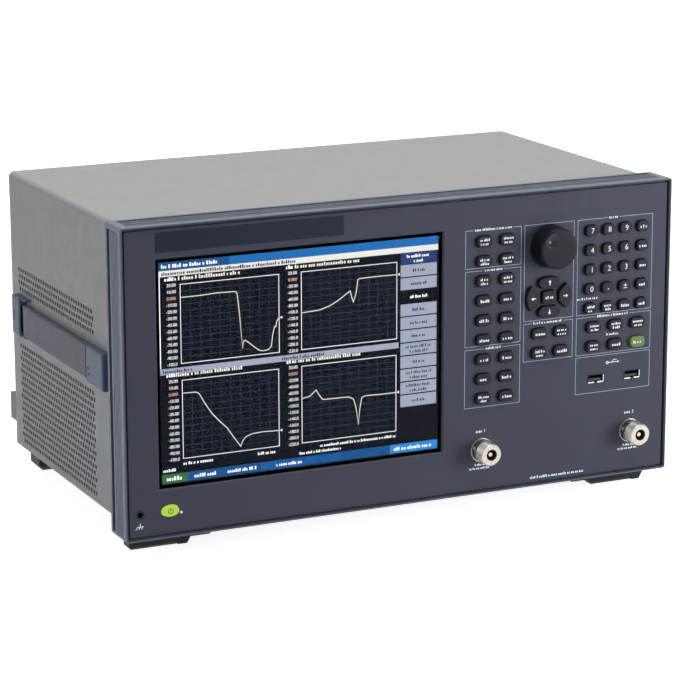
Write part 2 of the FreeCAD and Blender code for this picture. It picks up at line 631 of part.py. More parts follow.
def make_handles():
    front = end_cap(*FRONT_CAP, *FRONT_CAP_Z, FRONT_CAP[1] + 1, STRAP_Y0 - TONGUE_LEN - TONGUE_PLAY)
    dots = [Part.makeCylinder(CAP_DOT_R, 1.0, Vector(-HANDLE_OUT, y, z), Vector(1, 0, 0)) for y, z in CAP_DOTS]
    front = front.cut(Part.makeCompound(dots))
    rear = end_cap(*REAR_CAP, *REAR_CAP_Z, REAR_CAP[0] - 1, STRAP_Y1 + TONGUE_LEN + TONGUE_PLAY)
    slot = box(-HANDLE_OUT - 1, -HANDLE_OUT + 0.8, 222.8, 224.2, 111.0, 119.0)
    wings = [box(-HANDLE_OUT + 1.6, -SIDE_X, REAR_CAP[0] - CAP_WING, REAR_CAP[0], z, z + CAP_WING_T)
             for z in (REAR_CAP_Z[0], REAR_CAP_Z[1] - CAP_WING_T)]
    rear = fuse([rear.cut(slot)] + wings)
    save("handle_end_caps", both_sides(front) + both_sides(rear))

    inner = -HANDLE_OUT + STRAP_T
    tongue_x = (-SIDE_X - TONGUE_GAP - TONGUE_T, -SIDE_X - TONGUE_GAP)
    outline = [(-HANDLE_OUT, STRAP_Y0), (-HANDLE_OUT, 175.0), (-HANDLE_OUT + 1.2, STRAP_Y1),
               (tongue_x[1], STRAP_Y1), (tongue_x[1], STRAP_Y1 - 7), (inner, STRAP_Y1 - 11),
               (inner, STRAP_Y0 + 11), (tongue_x[1], STRAP_Y0 + 7), (tongue_x[1], STRAP_Y0)]
    low = HANDLE_Z - STRAP_H / 2
    points = [Vector(x, y, low) for x, y in outline]
    strap = Part.Face(Part.makePolygon(points + points[:1])).extrude(Vector(0, 0, STRAP_H))
    long_edges = [e for e in strap.Edges if len(e.Vertexes) == 2 and e.BoundBox.XMax < -HANDLE_OUT + 1.3
                  and e.BoundBox.ZLength < 0.1 and e.BoundBox.YLength > 20]
    strap = strap.makeFillet(0.9, long_edges)
    tongues = [box(tongue_x[0], tongue_x[1], y0, y1, HANDLE_Z - TONGUE_H / 2, HANDLE_Z + TONGUE_H / 2)
               for y0, y1 in ((STRAP_Y0 - TONGUE_LEN, STRAP_Y0 + 1), (STRAP_Y1 - 1, STRAP_Y1 + TONGUE_LEN))]
    left = fuse([strap] + tongues)
    save("left_handle", left)
    save("right_handle", mirrored(left))


# ---- Feet ----------------------------------------------------------------------------
def foot_block(xs, ys, top, taper):
    """Tapered block that stands on the ground."""
    base = box(-xs[1], -xs[0], ys[0], ys[1], -FOOT_H, top)
    bottom = [e for e in base.Edges if all(abs(v.Z + FOOT_H) < 1e-6 for v in e.Vertexes)]
    return base.makeChamfer(taper, bottom)


def make_feet():
    behind_frame = FRAME_D + 1.5
    plate = box(-FOOT_PLATE_X[1], -FOOT_PLATE_X[0], FOOT_PLATE_Y[0], FOOT_PLATE_Y[1], -FOOT_PLATE_T, 0)
    pad = box(-FOOT_PLATE_X[1] + 4, -FOOT_PLATE_X[0], behind_frame, FOOT_PLATE_Y[1], 0, CASE_UNDERSIDE)
    outer_ear = -LEG_X[1] - EAR_GAP - EAR_T
    inner_ear = -LEG_X[0] + EAR_GAP
    ears = [box(x, x + EAR_T, FOOT_PLATE_Y[1] - 1, LEG_AXIS_Y + 4, LEG_AXIS_Z - 3.5, LEG_AXIS_Z + 3.5)
            for x in (outer_ear, inner_ear)]
    pin_hole = Part.makeCylinder(LEG_PIN_R + RUNNING_GAP, 60, Vector(-195, LEG_AXIS_Y, LEG_AXIS_Z),
                                 Vector(1, 0, 0))
    block = foot_block(FRONT_FOOT_X, FRONT_FOOT_Y, 0, 2.0)
    front = fuse([plate, pad, block] + ears).cut(pin_hole)
    rear = foot_block(REAR_FOOT_X, REAR_FOOT_Y, CASE_UNDERSIDE, 4.0)
    save("feet", both_sides(front) + both_sides(rear))


def make_tilt_legs():
    """Folded back under the case; each pin turns in the two ears of its front foot."""
    along = Vector(1, 0, 0)
    inner, outer = LEG_X
    width = outer - inner
    tip = LEG_AXIS_Y + LEG_LENGTH
    hub = Part.makeCylinder(3.2, width, Vector(-outer, LEG_AXIS_Y, LEG_AXIS_Z), along)
    pin = Part.makeCylinder(LEG_PIN_R, width + 12, Vector(-outer - 6, LEG_AXIS_Y, LEG_AXIS_Z), along)
    blade = box(-outer, -inner, LEG_AXIS_Y, tip, LEG_AXIS_Z - 2, LEG_AXIS_Z + 1.5)
    window = box(-outer + 5.5, -inner - 5.5, LEG_AXIS_Y + 9, tip - 9, LEG_AXIS_Z - 4, LEG_AXIS_Z + 4)
    toe = Part.makeCylinder(2.6, width, Vector(-outer, tip, LEG_AXIS_Z), along)
    leg = fuse([hub, pin, blade.cut(window), toe])
    save("left_tilt_leg", leg)
    save("right_tilt_leg", mirrored(leg))


# ---- Rear ----------------------------------------------------------------------------
BUMPER_X = (184.0, 204.0)
BUMPER_UPPER_Z = (184.0, 208.0)
BUMPER_LOWER_Z = (20.0, 46.0)
REAR_HALF_W = SIDE_X - COVER_T
REAR_Z = (TRAY_Z, COVER_TOP - COVER_T)
SCREW_PLACES = [(-196, 60), (-196, 115), (-196, 175), (196, 60), (196, 115), (196, 175),
                (-100, 212), (0, 212), (100, 212), (-100, 19), (0, 19), (80, 19)]
FAN_SCREWS = [(FAN_X + sx * 41, FAN_Z + sz * 41) for sx in (-1, 1) for sz in (-1, 1)]
# x, z, width and height of the rectangular rear sockets: network, two host ports, video, parallel
REAR_SOCKETS = [(-30.0, 130.0, 16.0, 13.5), (-8.0, 130.0, 13.2, 5.8), (-8.0, 139.0, 13.2, 5.8),
                (20.0, 133.0, 25.0, 10.0), (0.0, 100.0, 60.0, 11.0)]


def fan_grille_holes():
    holes = []
    pitch = 6.4
    for row in range(-6, 7):
        for column in range(-7, 8):
            x = column * pitch + (row % 2) * pitch / 2
            z = row * pitch * 0.87
            if x * x + z * z < 39.0 ** 2:
                holes.append(rod(FAN_X + x, FAN_Z + z, 2.6, REAR_PANEL_Y - 1, REAR_FACE + 1))
    return holes


def make_rear_panel():
    plate = rounded_block(0, sum(REAR_Z) / 2, 2 * REAR_HALF_W, REAR_Z[1] - REAR_Z[0], COVER_R - COVER_T,
                          REAR_PANEL_Y, REAR_FACE)
    y0 = REAR_PANEL_Y - 1
    y1 = REAR_FACE + 1
    cuts = fan_grille_holes()
    cuts.append(rounded_block(INLET_X, INLET_Z, 32.0, 25.0, 2.0, y0, y1))
    cuts += [rod(x, BNC_Z, 5.2, y0, y1) for x in BNC_XS]
    cuts += [rounded_block(x, z, w + 0.6, h + 0.6, 0.5, y0, y1) for x, z, w, h in REAR_SOCKETS]
    cuts += [rod(x, z, SCREW_R + 0.2, y0, y1) for x, z in SCREW_PLACES + FAN_SCREWS]
    save("rear_panel", plate.cut(Part.makeCompound(cuts)))

    bumpers = []
    for z0, z1 in (BUMPER_UPPER_Z, BUMPER_LOWER_Z):
        block = box(-BUMPER_X[1], -BUMPER_X[0], REAR_FACE, REAR_END, z0, z1)
        back = edges_at_y(block, REAR_END)
        bumpers += both_sides(block.makeChamfer(3.0, back))
    save("rear_bumpers", bumpers)

    screws = []
    for x, z in SCREW_PLACES + FAN_SCREWS:
        head = rod(x, z, 2 * SCREW_R, REAR_FACE, REAR_FACE + 1.8)
        head = head.makeFillet(0.8, edges_at_y(head, REAR_FACE + 1.8))
        cross = [box(x - a, x + a, REAR_FACE + 1.0, REAR_FACE + 3, z - b, z + b)
                 for a, b in ((1.6, 0.35), (0.35, 1.6))]
        shank = rod(x, z, SCREW_R, REAR_FACE - 3.5, REAR_FACE)
        screws.append(fuse([head.cut(Part.makeCompound(cross)), shank]))
    save("screws", screws)


def socket_block(x, z, width, height, depth):
    return rounded_block(x, z, width, height, 0.5, REAR_PANEL_Y - 12, REAR_FACE + depth)


def make_rear_connectors():
    solids = []
    for x in BNC_XS:
        profile = [(3.6, REAR_FACE + 11), (4.8, REAR_FACE + 11), (4.8, REAR_FACE + 3), (7.0, REAR_FACE + 3),
                   (7.0, REAR_FACE), (4.9, REAR_FACE), (4.9, REAR_FACE - 10), (0, REAR_FACE - 10),
                   (0, REAR_FACE + 1), (3.6, REAR_FACE + 1)]
        lug_y = REAR_FACE + 8.5
        lugs = [Part.makeCylinder(1.0, 1.8, Vector(x, lug_y, BNC_Z + side * 4.3), Vector(0, 0, side))
                for side in (-1, 1)]
        pin = rod(x, BNC_Z, 0.7, REAR_FACE, REAR_FACE + 8)
        solids.append(fuse([turned(x, BNC_Z, profile), pin] + lugs))
    for number, (x, z, width, height) in enumerate(REAR_SOCKETS):
        block = socket_block(x, z, width, height, 1.0)
        wall = 1.6 if number == 0 else 0.5
        cavity = rounded_block(x, z, width - 2 * wall, height - 2 * wall, 0.3, REAR_FACE - 9, REAR_FACE + 2)
        shell = block.cut(cavity)
        if number in (1, 2):
            shell = fuse([shell, box(x - 5.6, x + 5.6, REAR_FACE - 10, REAR_FACE - 0.5, z - 1.9, z - 0.1)])
        if number > 2:
            core = rounded_block(x, z, width - 4, height - 4, 1.0, REAR_FACE - 10, REAR_FACE + 0.4)
            shell = fuse([shell, core])
        solids.append(shell)
    save("rear_connectors", solids)

    flange = rounded_block(INLET_X, INLET_Z, 50.0, 30.0, 3.0, REAR_FACE, REAR_FACE + 3)
    body = rounded_block(INLET_X, INLET_Z, 31.4, 24.4, 2.0, REAR_FACE - 24, REAR_FACE)
    cavity = rounded_block(INLET_X, INLET_Z, 24.4, 16.8, 2.0, REAR_FACE - 13, REAR_FACE + 4)
    blades = []
    for dx, dz in ((-7, -2), (0, 2), (7, -2)):
        x = INLET_X + dx
        z = INLET_Z + dz
        blades.append(box(x - 1, x + 1, REAR_FACE - 14, REAR_FACE - 4, z - 2, z + 2))
    save("power_inlet", fuse([fuse([flange, body]).cut(cavity)] + blades))


# ---- Electronics ---------------------------------------------------------------------
def make_electronics():
    deck = TRAY_Z + CHASSIS_T
    board_z = deck + BOARD_STANDOFF
    board = box(-195, 15, 50, 200, board_z, board_z + 1.6)
    sink = [box(-130 + 5 * k, -128 + 5 * k, 90, 140, board_z + 1.6, board_z + 24) for k in range(10)]
    sink_base = box(-130, -83, 90, 140, board_z + 1.6, board_z + 5)
    memory = [box(-60 + 10 * k, -56 + 10 * k, 80, 190, board_z + 1.6, board_z + 28) for k in range(2)]
    disk = box(-20, 12, 90, 180, board_z + 1.6, board_z + 12)
    save("main_board", fuse([board, sink_base, disk] + sink + memory))

    supply = box(95, 200, 165, 215, deck, deck + 95)
    vents = [box(104 + 9 * k, 108 + 9 * k, 160, 168, deck + 20, deck + 75) for k in range(10)]
    save("power_supply", supply.cut(Part.makeCompound(vents)))

    module = box(30, 202, 44, 150, deck, deck + 44)
    lid = box(32, 200, 46, 148, deck + 44, deck + 46)
    coax = [rod(x, PORT_Z, 1.8, PORT_BACK, 45) for x in PORT_XS]
    save("rf_module", fuse([module, lid] + coax))

    make_fan()


def make_fan():
    """A square frame with three struts to the middle, and the rotor that turns in its tube."""
    y0 = REAR_PANEL_Y - FAN_T
    frame = rounded_block(FAN_X, FAN_Z, FAN_SIZE, FAN_SIZE, 4.0, y0, REAR_PANEL_Y)
    frame = frame.cut(rod(FAN_X, FAN_Z, FAN_DUCT_R, y0 - 1, REAR_PANEL_Y + 1))
    hub = rod(FAN_X, FAN_Z, 15.0, REAR_PANEL_Y - 4, REAR_PANEL_Y - 1)
    struts = []
    for turn in (45, 165, 285):
        strut = box(FAN_X + 12, FAN_X + FAN_DUCT_R + 1, REAR_PANEL_Y - 4, REAR_PANEL_Y - 1,
                    FAN_Z - 2, FAN_Z + 2)
        strut.rotate(Vector(FAN_X, 0, FAN_Z), Vector(0, 1, 0), turn)
        struts.append(strut)
    tube = rod(FAN_X, FAN_Z, 4.0, y0 + 4, REAR_PANEL_Y - 1)
    bore = rod(FAN_X, FAN_Z, 2.0 + RUNNING_GAP, y0 + 3, REAR_PANEL_Y)
    holes = [rod(x, z, SCREW_R + 0.1, REAR_PANEL_Y - 4, REAR_PANEL_Y + 1) for x, z in FAN_SCREWS]
    save("fan_frame", fuse([frame, hub, tube] + struts).cut(Part.makeCompound([bore] + holes)))

    cup = rod(FAN_X, FAN_Z, 16.5, y0 + 1, REAR_PANEL_Y - 5.5)
    cup = cup.cut(rod(FAN_X, FAN_Z, 14.5, y0 + 3, REAR_PANEL_Y))
    shaft = rod(FAN_X, FAN_Z, 2.0, y0 + 2, REAR_PANEL_Y - 2)
    blades = []
    for k in range(7):
        blade = box(15.5, FAN_DUCT_R - 1.5, -0.8, 0.8, -9.5, 9.5)
        blade.rotate(Vector(0, 0, 0), Vector(1, 0, 0), 48)
        blade.rotate(Vector(0, 0, 0), Vector(0, 1, 0), 360 / 7 * k)
        blade.translate(Vector(FAN_X, y0 + 9.5, FAN_Z))
        blades.append(blade)
    save("fan_rotor", fuse([cup, shaft] + blades))


os.makedirs("parts", exist_ok=True)
make_frame()
make_covers()
make_chassis()
make_panel()
make_display()
make_keypad()
make_keys()
make_knob()
make_ports()
make_usb_sockets()
make_ground_jack()
make_handles()
make_feet()
make_tilt_legs()
make_rear_panel()
make_rear_connectors()
make_electronics()
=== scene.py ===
import bmesh
import bpy
import json
import random
from math import cos, pi, radians, sin
from mathutils import Matrix, Vector


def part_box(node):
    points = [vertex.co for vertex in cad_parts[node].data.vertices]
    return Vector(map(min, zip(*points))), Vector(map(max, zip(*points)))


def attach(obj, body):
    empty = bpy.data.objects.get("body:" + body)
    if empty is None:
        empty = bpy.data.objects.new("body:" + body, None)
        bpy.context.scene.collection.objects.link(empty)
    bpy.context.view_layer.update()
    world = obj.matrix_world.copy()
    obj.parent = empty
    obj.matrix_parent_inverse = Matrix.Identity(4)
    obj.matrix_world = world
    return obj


# The looks of a bench vector network analyzer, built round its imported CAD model.
# Places on the front are in millimetres from the middle of the front frame's lower front edge:
# x to the viewer's right, y into the case, z up. spot() turns them into the frame's metres.

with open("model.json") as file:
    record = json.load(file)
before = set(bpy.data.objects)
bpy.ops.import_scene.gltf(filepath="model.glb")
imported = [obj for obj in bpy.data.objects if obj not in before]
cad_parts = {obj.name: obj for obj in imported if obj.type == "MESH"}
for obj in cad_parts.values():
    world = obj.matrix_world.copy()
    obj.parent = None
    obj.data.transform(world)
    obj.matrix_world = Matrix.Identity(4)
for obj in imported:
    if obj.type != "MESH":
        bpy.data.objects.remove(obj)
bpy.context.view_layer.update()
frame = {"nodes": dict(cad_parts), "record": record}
NODES = frame["nodes"]
FRONT_LOW = Vector((0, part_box("front_frame")[0].y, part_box("front_frame")[0].z))


def spot(x, y, z):
    return FRONT_LOW + Vector((x, y, z)) / 1000


def local_box(node):
    """A CAD node's lowest and highest corners in the front's millimetres."""
    low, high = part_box(node)
    return (low - FRONT_LOW) * 1000, (high - FRONT_LOW) * 1000


# ---- Materials -----------------------------------------------------------------------
NOISE_LOW = 0.3
NOISE_HIGH = 0.7
GLOW_UNLIT = 0.2


def node(tree, kind, at, **settings):
    made = tree.nodes.new(kind)
    made.location = at
    for key, value in settings.items():
        setattr(made, key, value)
    return made


def noise(tree, coords, scale, detail, at, stretch=(1, 1, 1)):
    mapping = node(tree, "ShaderNodeMapping", (at[0] - 200, at[1]))
    mapping.inputs["Scale"].default_value = stretch
    tree.links.new(coords, mapping.inputs["Vector"])
    made = node(tree, "ShaderNodeTexNoise", at)
    made.inputs["Scale"].default_value = scale
    made.inputs["Detail"].default_value = detail
    tree.links.new(mapping.outputs["Vector"], made.inputs["Vector"])
    return made.outputs["Fac"]


def ranged(tree, value, low, high, at):
    """Spread the range that a noise mostly keeps to over another range."""
    made = node(tree, "ShaderNodeMapRange", at)
    made.inputs["From Min"].default_value = NOISE_LOW
    made.inputs["From Max"].default_value = NOISE_HIGH
    made.inputs["To Min"].default_value = low
    made.inputs["To Max"].default_value = high
    tree.links.new(value, made.inputs["Value"])
    return made.outputs["Result"]


def principled(mat):
    return mat.node_tree.nodes["Principled BSDF"]


def emitting(mat, colour, strength):
    shader = principled(mat)
    shader.inputs["Emission Color"].default_value = list(colour) + [1]
    shader.inputs["Emission Strength"].default_value = strength
    return mat


def surface(name, colour, rough, metallic=0.0, mottle=0.06, mottle_scale=30.0, grain=1400.0, bump=0.1,
            depth=0.0001, rough_spread=0.06, stretch=(1, 1, 1), coat=0.0, specular=0.5):
    """Painted, moulded or metal surface: mottled colour, uneven roughness and a fine grain."""
    mat = bpy.data.materials.new(name)
    mat.use_nodes = True
    tree = mat.node_tree
    shader = principled(mat)
    shader.inputs["Metallic"].default_value = metallic
    shader.inputs["Coat Weight"].default_value = coat
    shader.inputs["Specular IOR Level"].default_value = specular
    coords = node(tree, "ShaderNodeTexCoord", (-1100, 0)).outputs["Object"]

    broad = noise(tree, coords, mottle_scale, 4.0, (-700, 250), stretch)
    mix = node(tree, "ShaderNodeMix", (-300, 250), data_type="RGBA")
    mix.inputs["A"].default_value = [c * (1 - mottle) for c in colour] + [1]
    mix.inputs["B"].default_value = [min(1, c * (1 + mottle)) for c in colour] + [1]
    tree.links.new(ranged(tree, broad, 0.0, 1.0, (-500, 250)), mix.inputs["Factor"])
    tree.links.new(mix.outputs["Result"], shader.inputs["Base Color"])

    uneven = noise(tree, coords, mottle_scale * 4, 3.0, (-700, 0), stretch)
    spread = ranged(tree, uneven, rough - rough_spread, rough + rough_spread, (-500, 0))
    tree.links.new(spread, shader.inputs["Roughness"])

    fine = noise(tree, coords, grain, 2.0, (-700, -250), stretch)
    bumps = node(tree, "ShaderNodeBump", (-300, -250))
    bumps.inputs["Strength"].default_value = bump
    bumps.inputs["Distance"].default_value = depth
    tree.links.new(fine, bumps.inputs["Height"])
    tree.links.new(bumps.outputs["Normal"], shader.inputs["Normal"])
    return mat


def glow(name, colour, strength):
    """A lit surface, such as a patch of the screen, with faint unevenness."""
    dull = [c * GLOW_UNLIT for c in colour]
    return emitting(surface(name, dull, 0.5, mottle=0.04, bump=0.02, specular=0.03), colour, strength)


def printed(name, colour, strength):
    """Light print with a faint glow added as painted light, so that its thin strokes hold against the dark
    panel.
    """
    return emitting(surface(name, colour, 0.55, bump=0.05), colour, strength)


def glass(name):
    mat = surface(name, (0.98, 0.99, 1.0), 0.04, mottle=0.01, bump=0.01, rough_spread=0.01, specular=0.2)
    shader = principled(mat)
    shader.inputs["Transmission Weight"].default_value = 1.0
    shader.inputs["IOR"].default_value = 1.08
    return mat


MAT = {
    "frame_paint": surface("frame_paint", (0.160, 0.192, 0.232), 0.42, grain=900, bump=0.12, specular=0.35),
    "trim_plastic": surface("trim_plastic", (0.072, 0.104, 0.158), 0.38, grain=500, bump=0.2, specular=0.35,
                            stretch=(1, 1, 0.1)),
    "panel_skin": surface("panel_skin", (0.068, 0.074, 0.100), 0.5, grain=1800, bump=0.18, mottle=0.04,
                          specular=0.18),
    "title_black": surface("title_black", (0.013, 0.020, 0.040), 0.35, grain=700, bump=0.03, specular=0.16),
    "display": surface("display", (0.012, 0.012, 0.014), 0.4, bump=0.05, specular=0.2),
    "mat_rubber": surface("mat_rubber", (0.02, 0.02, 0.02), 0.7, bump=0.2),
    "board_green": surface("board_green", (0.02, 0.12, 0.05), 0.35, mottle=0.3, mottle_scale=120),
    "cover_paint": surface("cover_paint", (0.42, 0.41, 0.395), 0.5, grain=1300, bump=0.25, mottle=0.02,
                           specular=0.3),
    "bare_steel": surface("bare_steel", (0.37, 0.38, 0.39), 0.42, metallic=0.9, grain=300, bump=0.15,
                          stretch=(0.06, 1, 1), mottle=0.12),
    "port_nickel": surface("port_nickel", (0.42, 0.40, 0.36), 0.28, metallic=1.0, grain=400, bump=0.06,
                           mottle=0.05),
    "jack_dark": surface("jack_dark", (0.010, 0.010, 0.012), 0.35, bump=0.05, specular=0.25),
    "contact_gold": surface("contact_gold", (0.50, 0.38, 0.26), 0.35, metallic=1.0, bump=0.03),
    # the ports' bead is coloured near black rather than white: painted shade, as it sits deep in the bore
    "bead_white": surface("bead_white", (0.050, 0.030, 0.018), 0.5, bump=0.05, specular=0.1),
    # the host sockets' steel is coloured near black: painted shade of their cavities
    "socket_steel": surface("socket_steel", (0.060, 0.055, 0.052), 0.38, metallic=0.3, bump=0.08,
                            specular=0.25),
    "key_black": surface("key_black", (0.020, 0.020, 0.023), 0.42, grain=1800, bump=0.12, specular=0.16),
    "key_green": surface("key_green", (0.17, 0.30, 0.075), 0.42, grain=1800, bump=0.12, specular=0.3),
    "knob_black": surface("knob_black", (0.009, 0.010, 0.016), 0.36, grain=1500, bump=0.06, specular=0.08,
                          coat=0.1),
    "handle_plastic": surface("handle_plastic", (0.103, 0.146, 0.206), 0.48, grain=900, bump=0.3,
                              specular=0.3),
    "strap_vinyl": surface("strap_vinyl", (0.155, 0.155, 0.175), 0.6, grain=700, bump=0.5, depth=0.00015,
                           specular=0.3),
    "foot_plastic": surface("foot_plastic", (0.012, 0.012, 0.013), 0.5, grain=900, bump=0.25, specular=0.25),
    "bumper_plastic": surface("bumper_plastic", (0.20, 0.205, 0.22), 0.55, grain=900, bump=0.3),
    "fan_plastic": surface("fan_plastic", (0.015, 0.015, 0.015), 0.4, bump=0.1),
    "inlet_plastic": surface("inlet_plastic", (0.014, 0.014, 0.014), 0.35, bump=0.08),
    "screw_steel": surface("screw_steel", (0.55, 0.55, 0.55), 0.3, metallic=1.0, bump=0.05),
    "window_glass": glass("window_glass"),
    # the power key's emission is painted light: the key is no lamp (its lamp is the small dot beside it), the
    # glow only makes it read bright
    "power_green": glow("power_green", (0.48, 0.74, 0.08), 0.82),
}
# the print's emission is painted light: the white and blue print glow a little though they are no lamp
PRINT_WHITE_GLOW = printed("print_white_glow", (0.86, 0.89, 0.94), 0.30)
PRINT_BLUE_GLOW = printed("print_blue_glow", (0.42, 0.49, 0.60), 0.10)
# the ports' nickel made brighter for their threaded barrels: painted sheen, the light the barrels catch
THREAD_NICKEL_SHEEN = surface("thread_nickel_sheen", (0.74, 0.71, 0.65), 0.3, metallic=1.0, bump=0.05)
DIMPLE_BLACK = surface("dimple_black", (0.010, 0.010, 0.014), 0.12, bump=0.01, rough_spread=0.02, coat=0.45,
                       specular=0.1)
# bright metal for the rear shells, and painted highlight for the strips on the host shells' edges
SHELL_METAL_AND_GLINT = surface("shell_metal_and_glint", (0.80, 0.79, 0.77), 0.35, metallic=0.5, bump=0.05)
# near-black sheets behind the side holes: painted shade of the case's inside
VENT_SHADE = surface("vent_shade", (0.004, 0.004, 0.005), 0.9, bump=0.02, specular=0.02)
PRINT_DARK = surface("print_dark", (0.02, 0.06, 0.01), 0.5, bump=0.05)
LAMP_CLEAR = glow("lamp_clear", (0.62, 0.66, 0.70), 0.8)

for entry in frame["record"]["subparts"]:
    target = NODES[entry["node"]]
    target.data.materials.clear()
    target.data.materials.append(MAT[entry["material_slot"]])
# the rear panel's shells are bright metal, though they share their slot with the host sockets, whose steel is
# darkened as painted shade; this bright material also paints the highlights on the host shells' edges
NODES["rear_connectors"].data.materials[0] = SHELL_METAL_AND_GLINT


# ---- Thin raised shapes: print, legends and the screen's picture -----------------------
RING_STEPS = 28
LATHE_STEPS = 40
SHARPEST_MITRE = 0.35
WELD = 1e-6
# A line of marks, as parts of its height: a bar's width and height, the gap after it, the least room for one.
BAR_WIDTH = (0.30, 0.55)
BAR_HEIGHTS = (0.68, 0.68, 0.7, 1.0)
BAR_GAPS = (0.2, 0.2, 0.25, 0.6)
BAR_ROOM = 0.3


class Relief:
    """Thin closed shapes facing the viewer, gathered into one piece; y is their rear face."""

    def __init__(self, y, thick):
        self.front = y - thick
        self.back = y
        self.mesh = bmesh.new()

    def prism(self, outline):
        """Close a polygon given as (x, z) points, from the plane to the relief's front."""
        near = [self.mesh.verts.new(spot(x, self.front, z)) for x, z in outline]
        far = [self.mesh.verts.new(spot(x, self.back, z)) for x, z in outline]
        self.mesh.faces.new(near)
        self.mesh.faces.new(list(reversed(far)))
        for i in range(len(near)):
            j = (i + 1) % len(near)
            self.mesh.faces.new((near[j], near[i], far[i], far[j]))

    def box(self, x0, x1, z0, z1):
        self.prism([(x0, z0), (x1, z0), (x1, z1), (x0, z1)])

    def line(self, points, width, closed=False):
        """A mitred stroke along (x, z) points."""
        sections = []
        for left, right in self.rails(points, width, closed):
            corners = [(left, self.front), (right, self.front), (right, self.back), (left, self.back)]
            sections.append([self.mesh.verts.new(spot(p.x, y, p.y)) for p, y in corners])
        following = sections[1:] + sections[:1] if closed else sections[1:]
        for a, b in zip(sections, following):
            for k in range(4):
                m = (k + 1) % 4
                self.mesh.faces.new((a[k], a[m], b[m], b[k]))
        if not closed:
            self.mesh.faces.new(list(reversed(sections[0])))
            self.mesh.faces.new(sections[-1])

    def rails(self, points, width, closed):
        """The stroke's left and right edges at each of its points."""
        count = len(points)
        edges = []
        for i, point in enumerate(points):
            here = Vector(point)
            before = Vector(points[i - 1]) if i or closed else None
            after = Vector(points[(i + 1) % count]) if i < count - 1 or closed else None
            normals = [Vector((-(b - a).y, (b - a).x)).normalized()
                       for a, b in ((before, here), (here, after)) if a is not None and b is not None]
            mitre = sum(normals, Vector((0, 0))).normalized()
            reach = width / 2 / max(SHARPEST_MITRE, mitre.dot(normals[0]))
            edges.append([here + mitre * reach, here - mitre * reach])
        return edges

    def ring(self, x, z, radius, width, start=0, end=360):
        whole = end - start >= 360
        angles = [radians(start + (end - start) * k / RING_STEPS) for k in range(RING_STEPS + (not whole))]
        self.line([(x + radius * cos(a), z + radius * sin(a)) for a in angles], width, closed=whole)

    def marks(self, x, z, width, height, rng):
        """A centred run of small upright bars that stands for a line of print without being lettering."""
        at = x - width / 2
        end = x + width / 2
        while at < end - height * BAR_ROOM:
            wide = height * rng.uniform(*BAR_WIDTH)
            tall = height * rng.choice(BAR_HEIGHTS)
            self.box(at, min(at + wide, end), z - height / 2, z - height / 2 + tall)
            at += wide + height * rng.choice(BAR_GAPS)

    def text(self, body, x, z, size):
        """Plain numerals, centred."""
        curve = bpy.data.curves.new("numerals", "FONT")
        curve.body = body
        curve.size = size / 1000
        curve.align_x = "CENTER"
        curve.align_y = "CENTER"
        curve.extrude = (self.back - self.front) / 2000
        maker = bpy.data.objects.new("numerals", curve)
        made = bpy.data.meshes.new_from_object(maker)
        made.transform(Matrix.Rotation(pi / 2, 4, "X"))
        made.transform(Matrix.Translation(spot(x, (self.front + self.back) / 2, z)))
        self.mesh.from_mesh(made)
        bpy.data.objects.remove(maker)
        bpy.data.curves.remove(curve)
        bpy.data.meshes.remove(made)

    def piece(self, name, mat, body="case", slot="panel_skin"):
        bmesh.ops.recalc_face_normals(self.mesh, faces=self.mesh.faces[:])
        return finished(name, self.mesh, mat, body)


def finished(name, mesh, mat, body, smooth=False):
    data = bpy.data.meshes.new(name)
    mesh.to_mesh(data)
    mesh.free()
    data.materials.append(mat)
    for face in data.polygons:
        face.use_smooth = smooth
    piece = bpy.data.objects.new(name, data)
    bpy.context.scene.collection.objects.link(piece)
    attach(piece, body)
    return piece


def lathe(name, x, z, profile, mat, body, slot, smooth=False):
    """A closed body of revolution about a front-to-back axis; profile is (radius, y) pairs."""
    mesh = bmesh.new()
    rings = []
    for k in range(LATHE_STEPS):
        angle = 2 * pi * k / LATHE_STEPS
        rings.append([mesh.verts.new(spot(x + radius * cos(angle), y, z + radius * sin(angle)))
                      for radius, y in profile])
    for k in range(LATHE_STEPS):
        here = rings[k]
        there = rings[(k + 1) % LATHE_STEPS]
        for i in range(len(profile)):
            j = (i + 1) % len(profile)
            mesh.faces.new((here[i], here[j], there[j], there[i]))
    bmesh.ops.recalc_face_normals(mesh, faces=mesh.faces[:])
    return finished(name, mesh, mat, body, smooth)


def islands(name):
    """The boxes of a CAD node's separate solids, in the front's millimetres, top row first."""
    mesh = bmesh.new()
    mesh.from_mesh(NODES[name].data)
    bmesh.ops.remove_doubles(mesh, verts=mesh.verts[:], dist=WELD)
    seen = set()
    boxes = []
    for start in mesh.verts:
        if start.index in seen:
            continue
        seen.add(start.index)
        stack = [start]
        points = []
        while stack:
            vert = stack.pop()
            points.append((vert.co - FRONT_LOW) * 1000)
            for edge in vert.link_edges:
                other = edge.other_vert(vert)
                if other.index not in seen:
                    seen.add(other.index)
                    stack.append(other)
        low = Vector([min(p[k] for p in points) for k in range(3)])
        high = Vector([max(p[k] for p in points) for k in range(3)])
        boxes.append((low, high))
    mesh.free()
    return sorted(boxes, key=lambda b: (-round(b[0].z, 1), b[0].x))


def middle(low, high):
    """Where a box's middle lies on the front, as x and z."""
    return (low.x + high.x) / 2, (low.z + high.z) / 2


def shifted(points, x, z):
    return [(x + dx, z + dz) for dx, dz in points]


# ---- Key legends ---------------------------------------------------------------------
# Places in a legend are measured from the middle of its key.
LEGEND_THICK = 0.05
DIGIT_SHIFT = 0.4
DIGIT_SIZE = 5.6
DOT_DROP = 0.8
DOT_RADIUS = 0.25
DOT_WIDTH = 0.5
SIGN_STROKES = [((-1.5, 0.7), (1.5, 0.7)), ((0, -0.5), (0, 1.9)), ((-1.5, -1.4), (1.5, -1.4))]
SIGN_WIDTH = 0.5
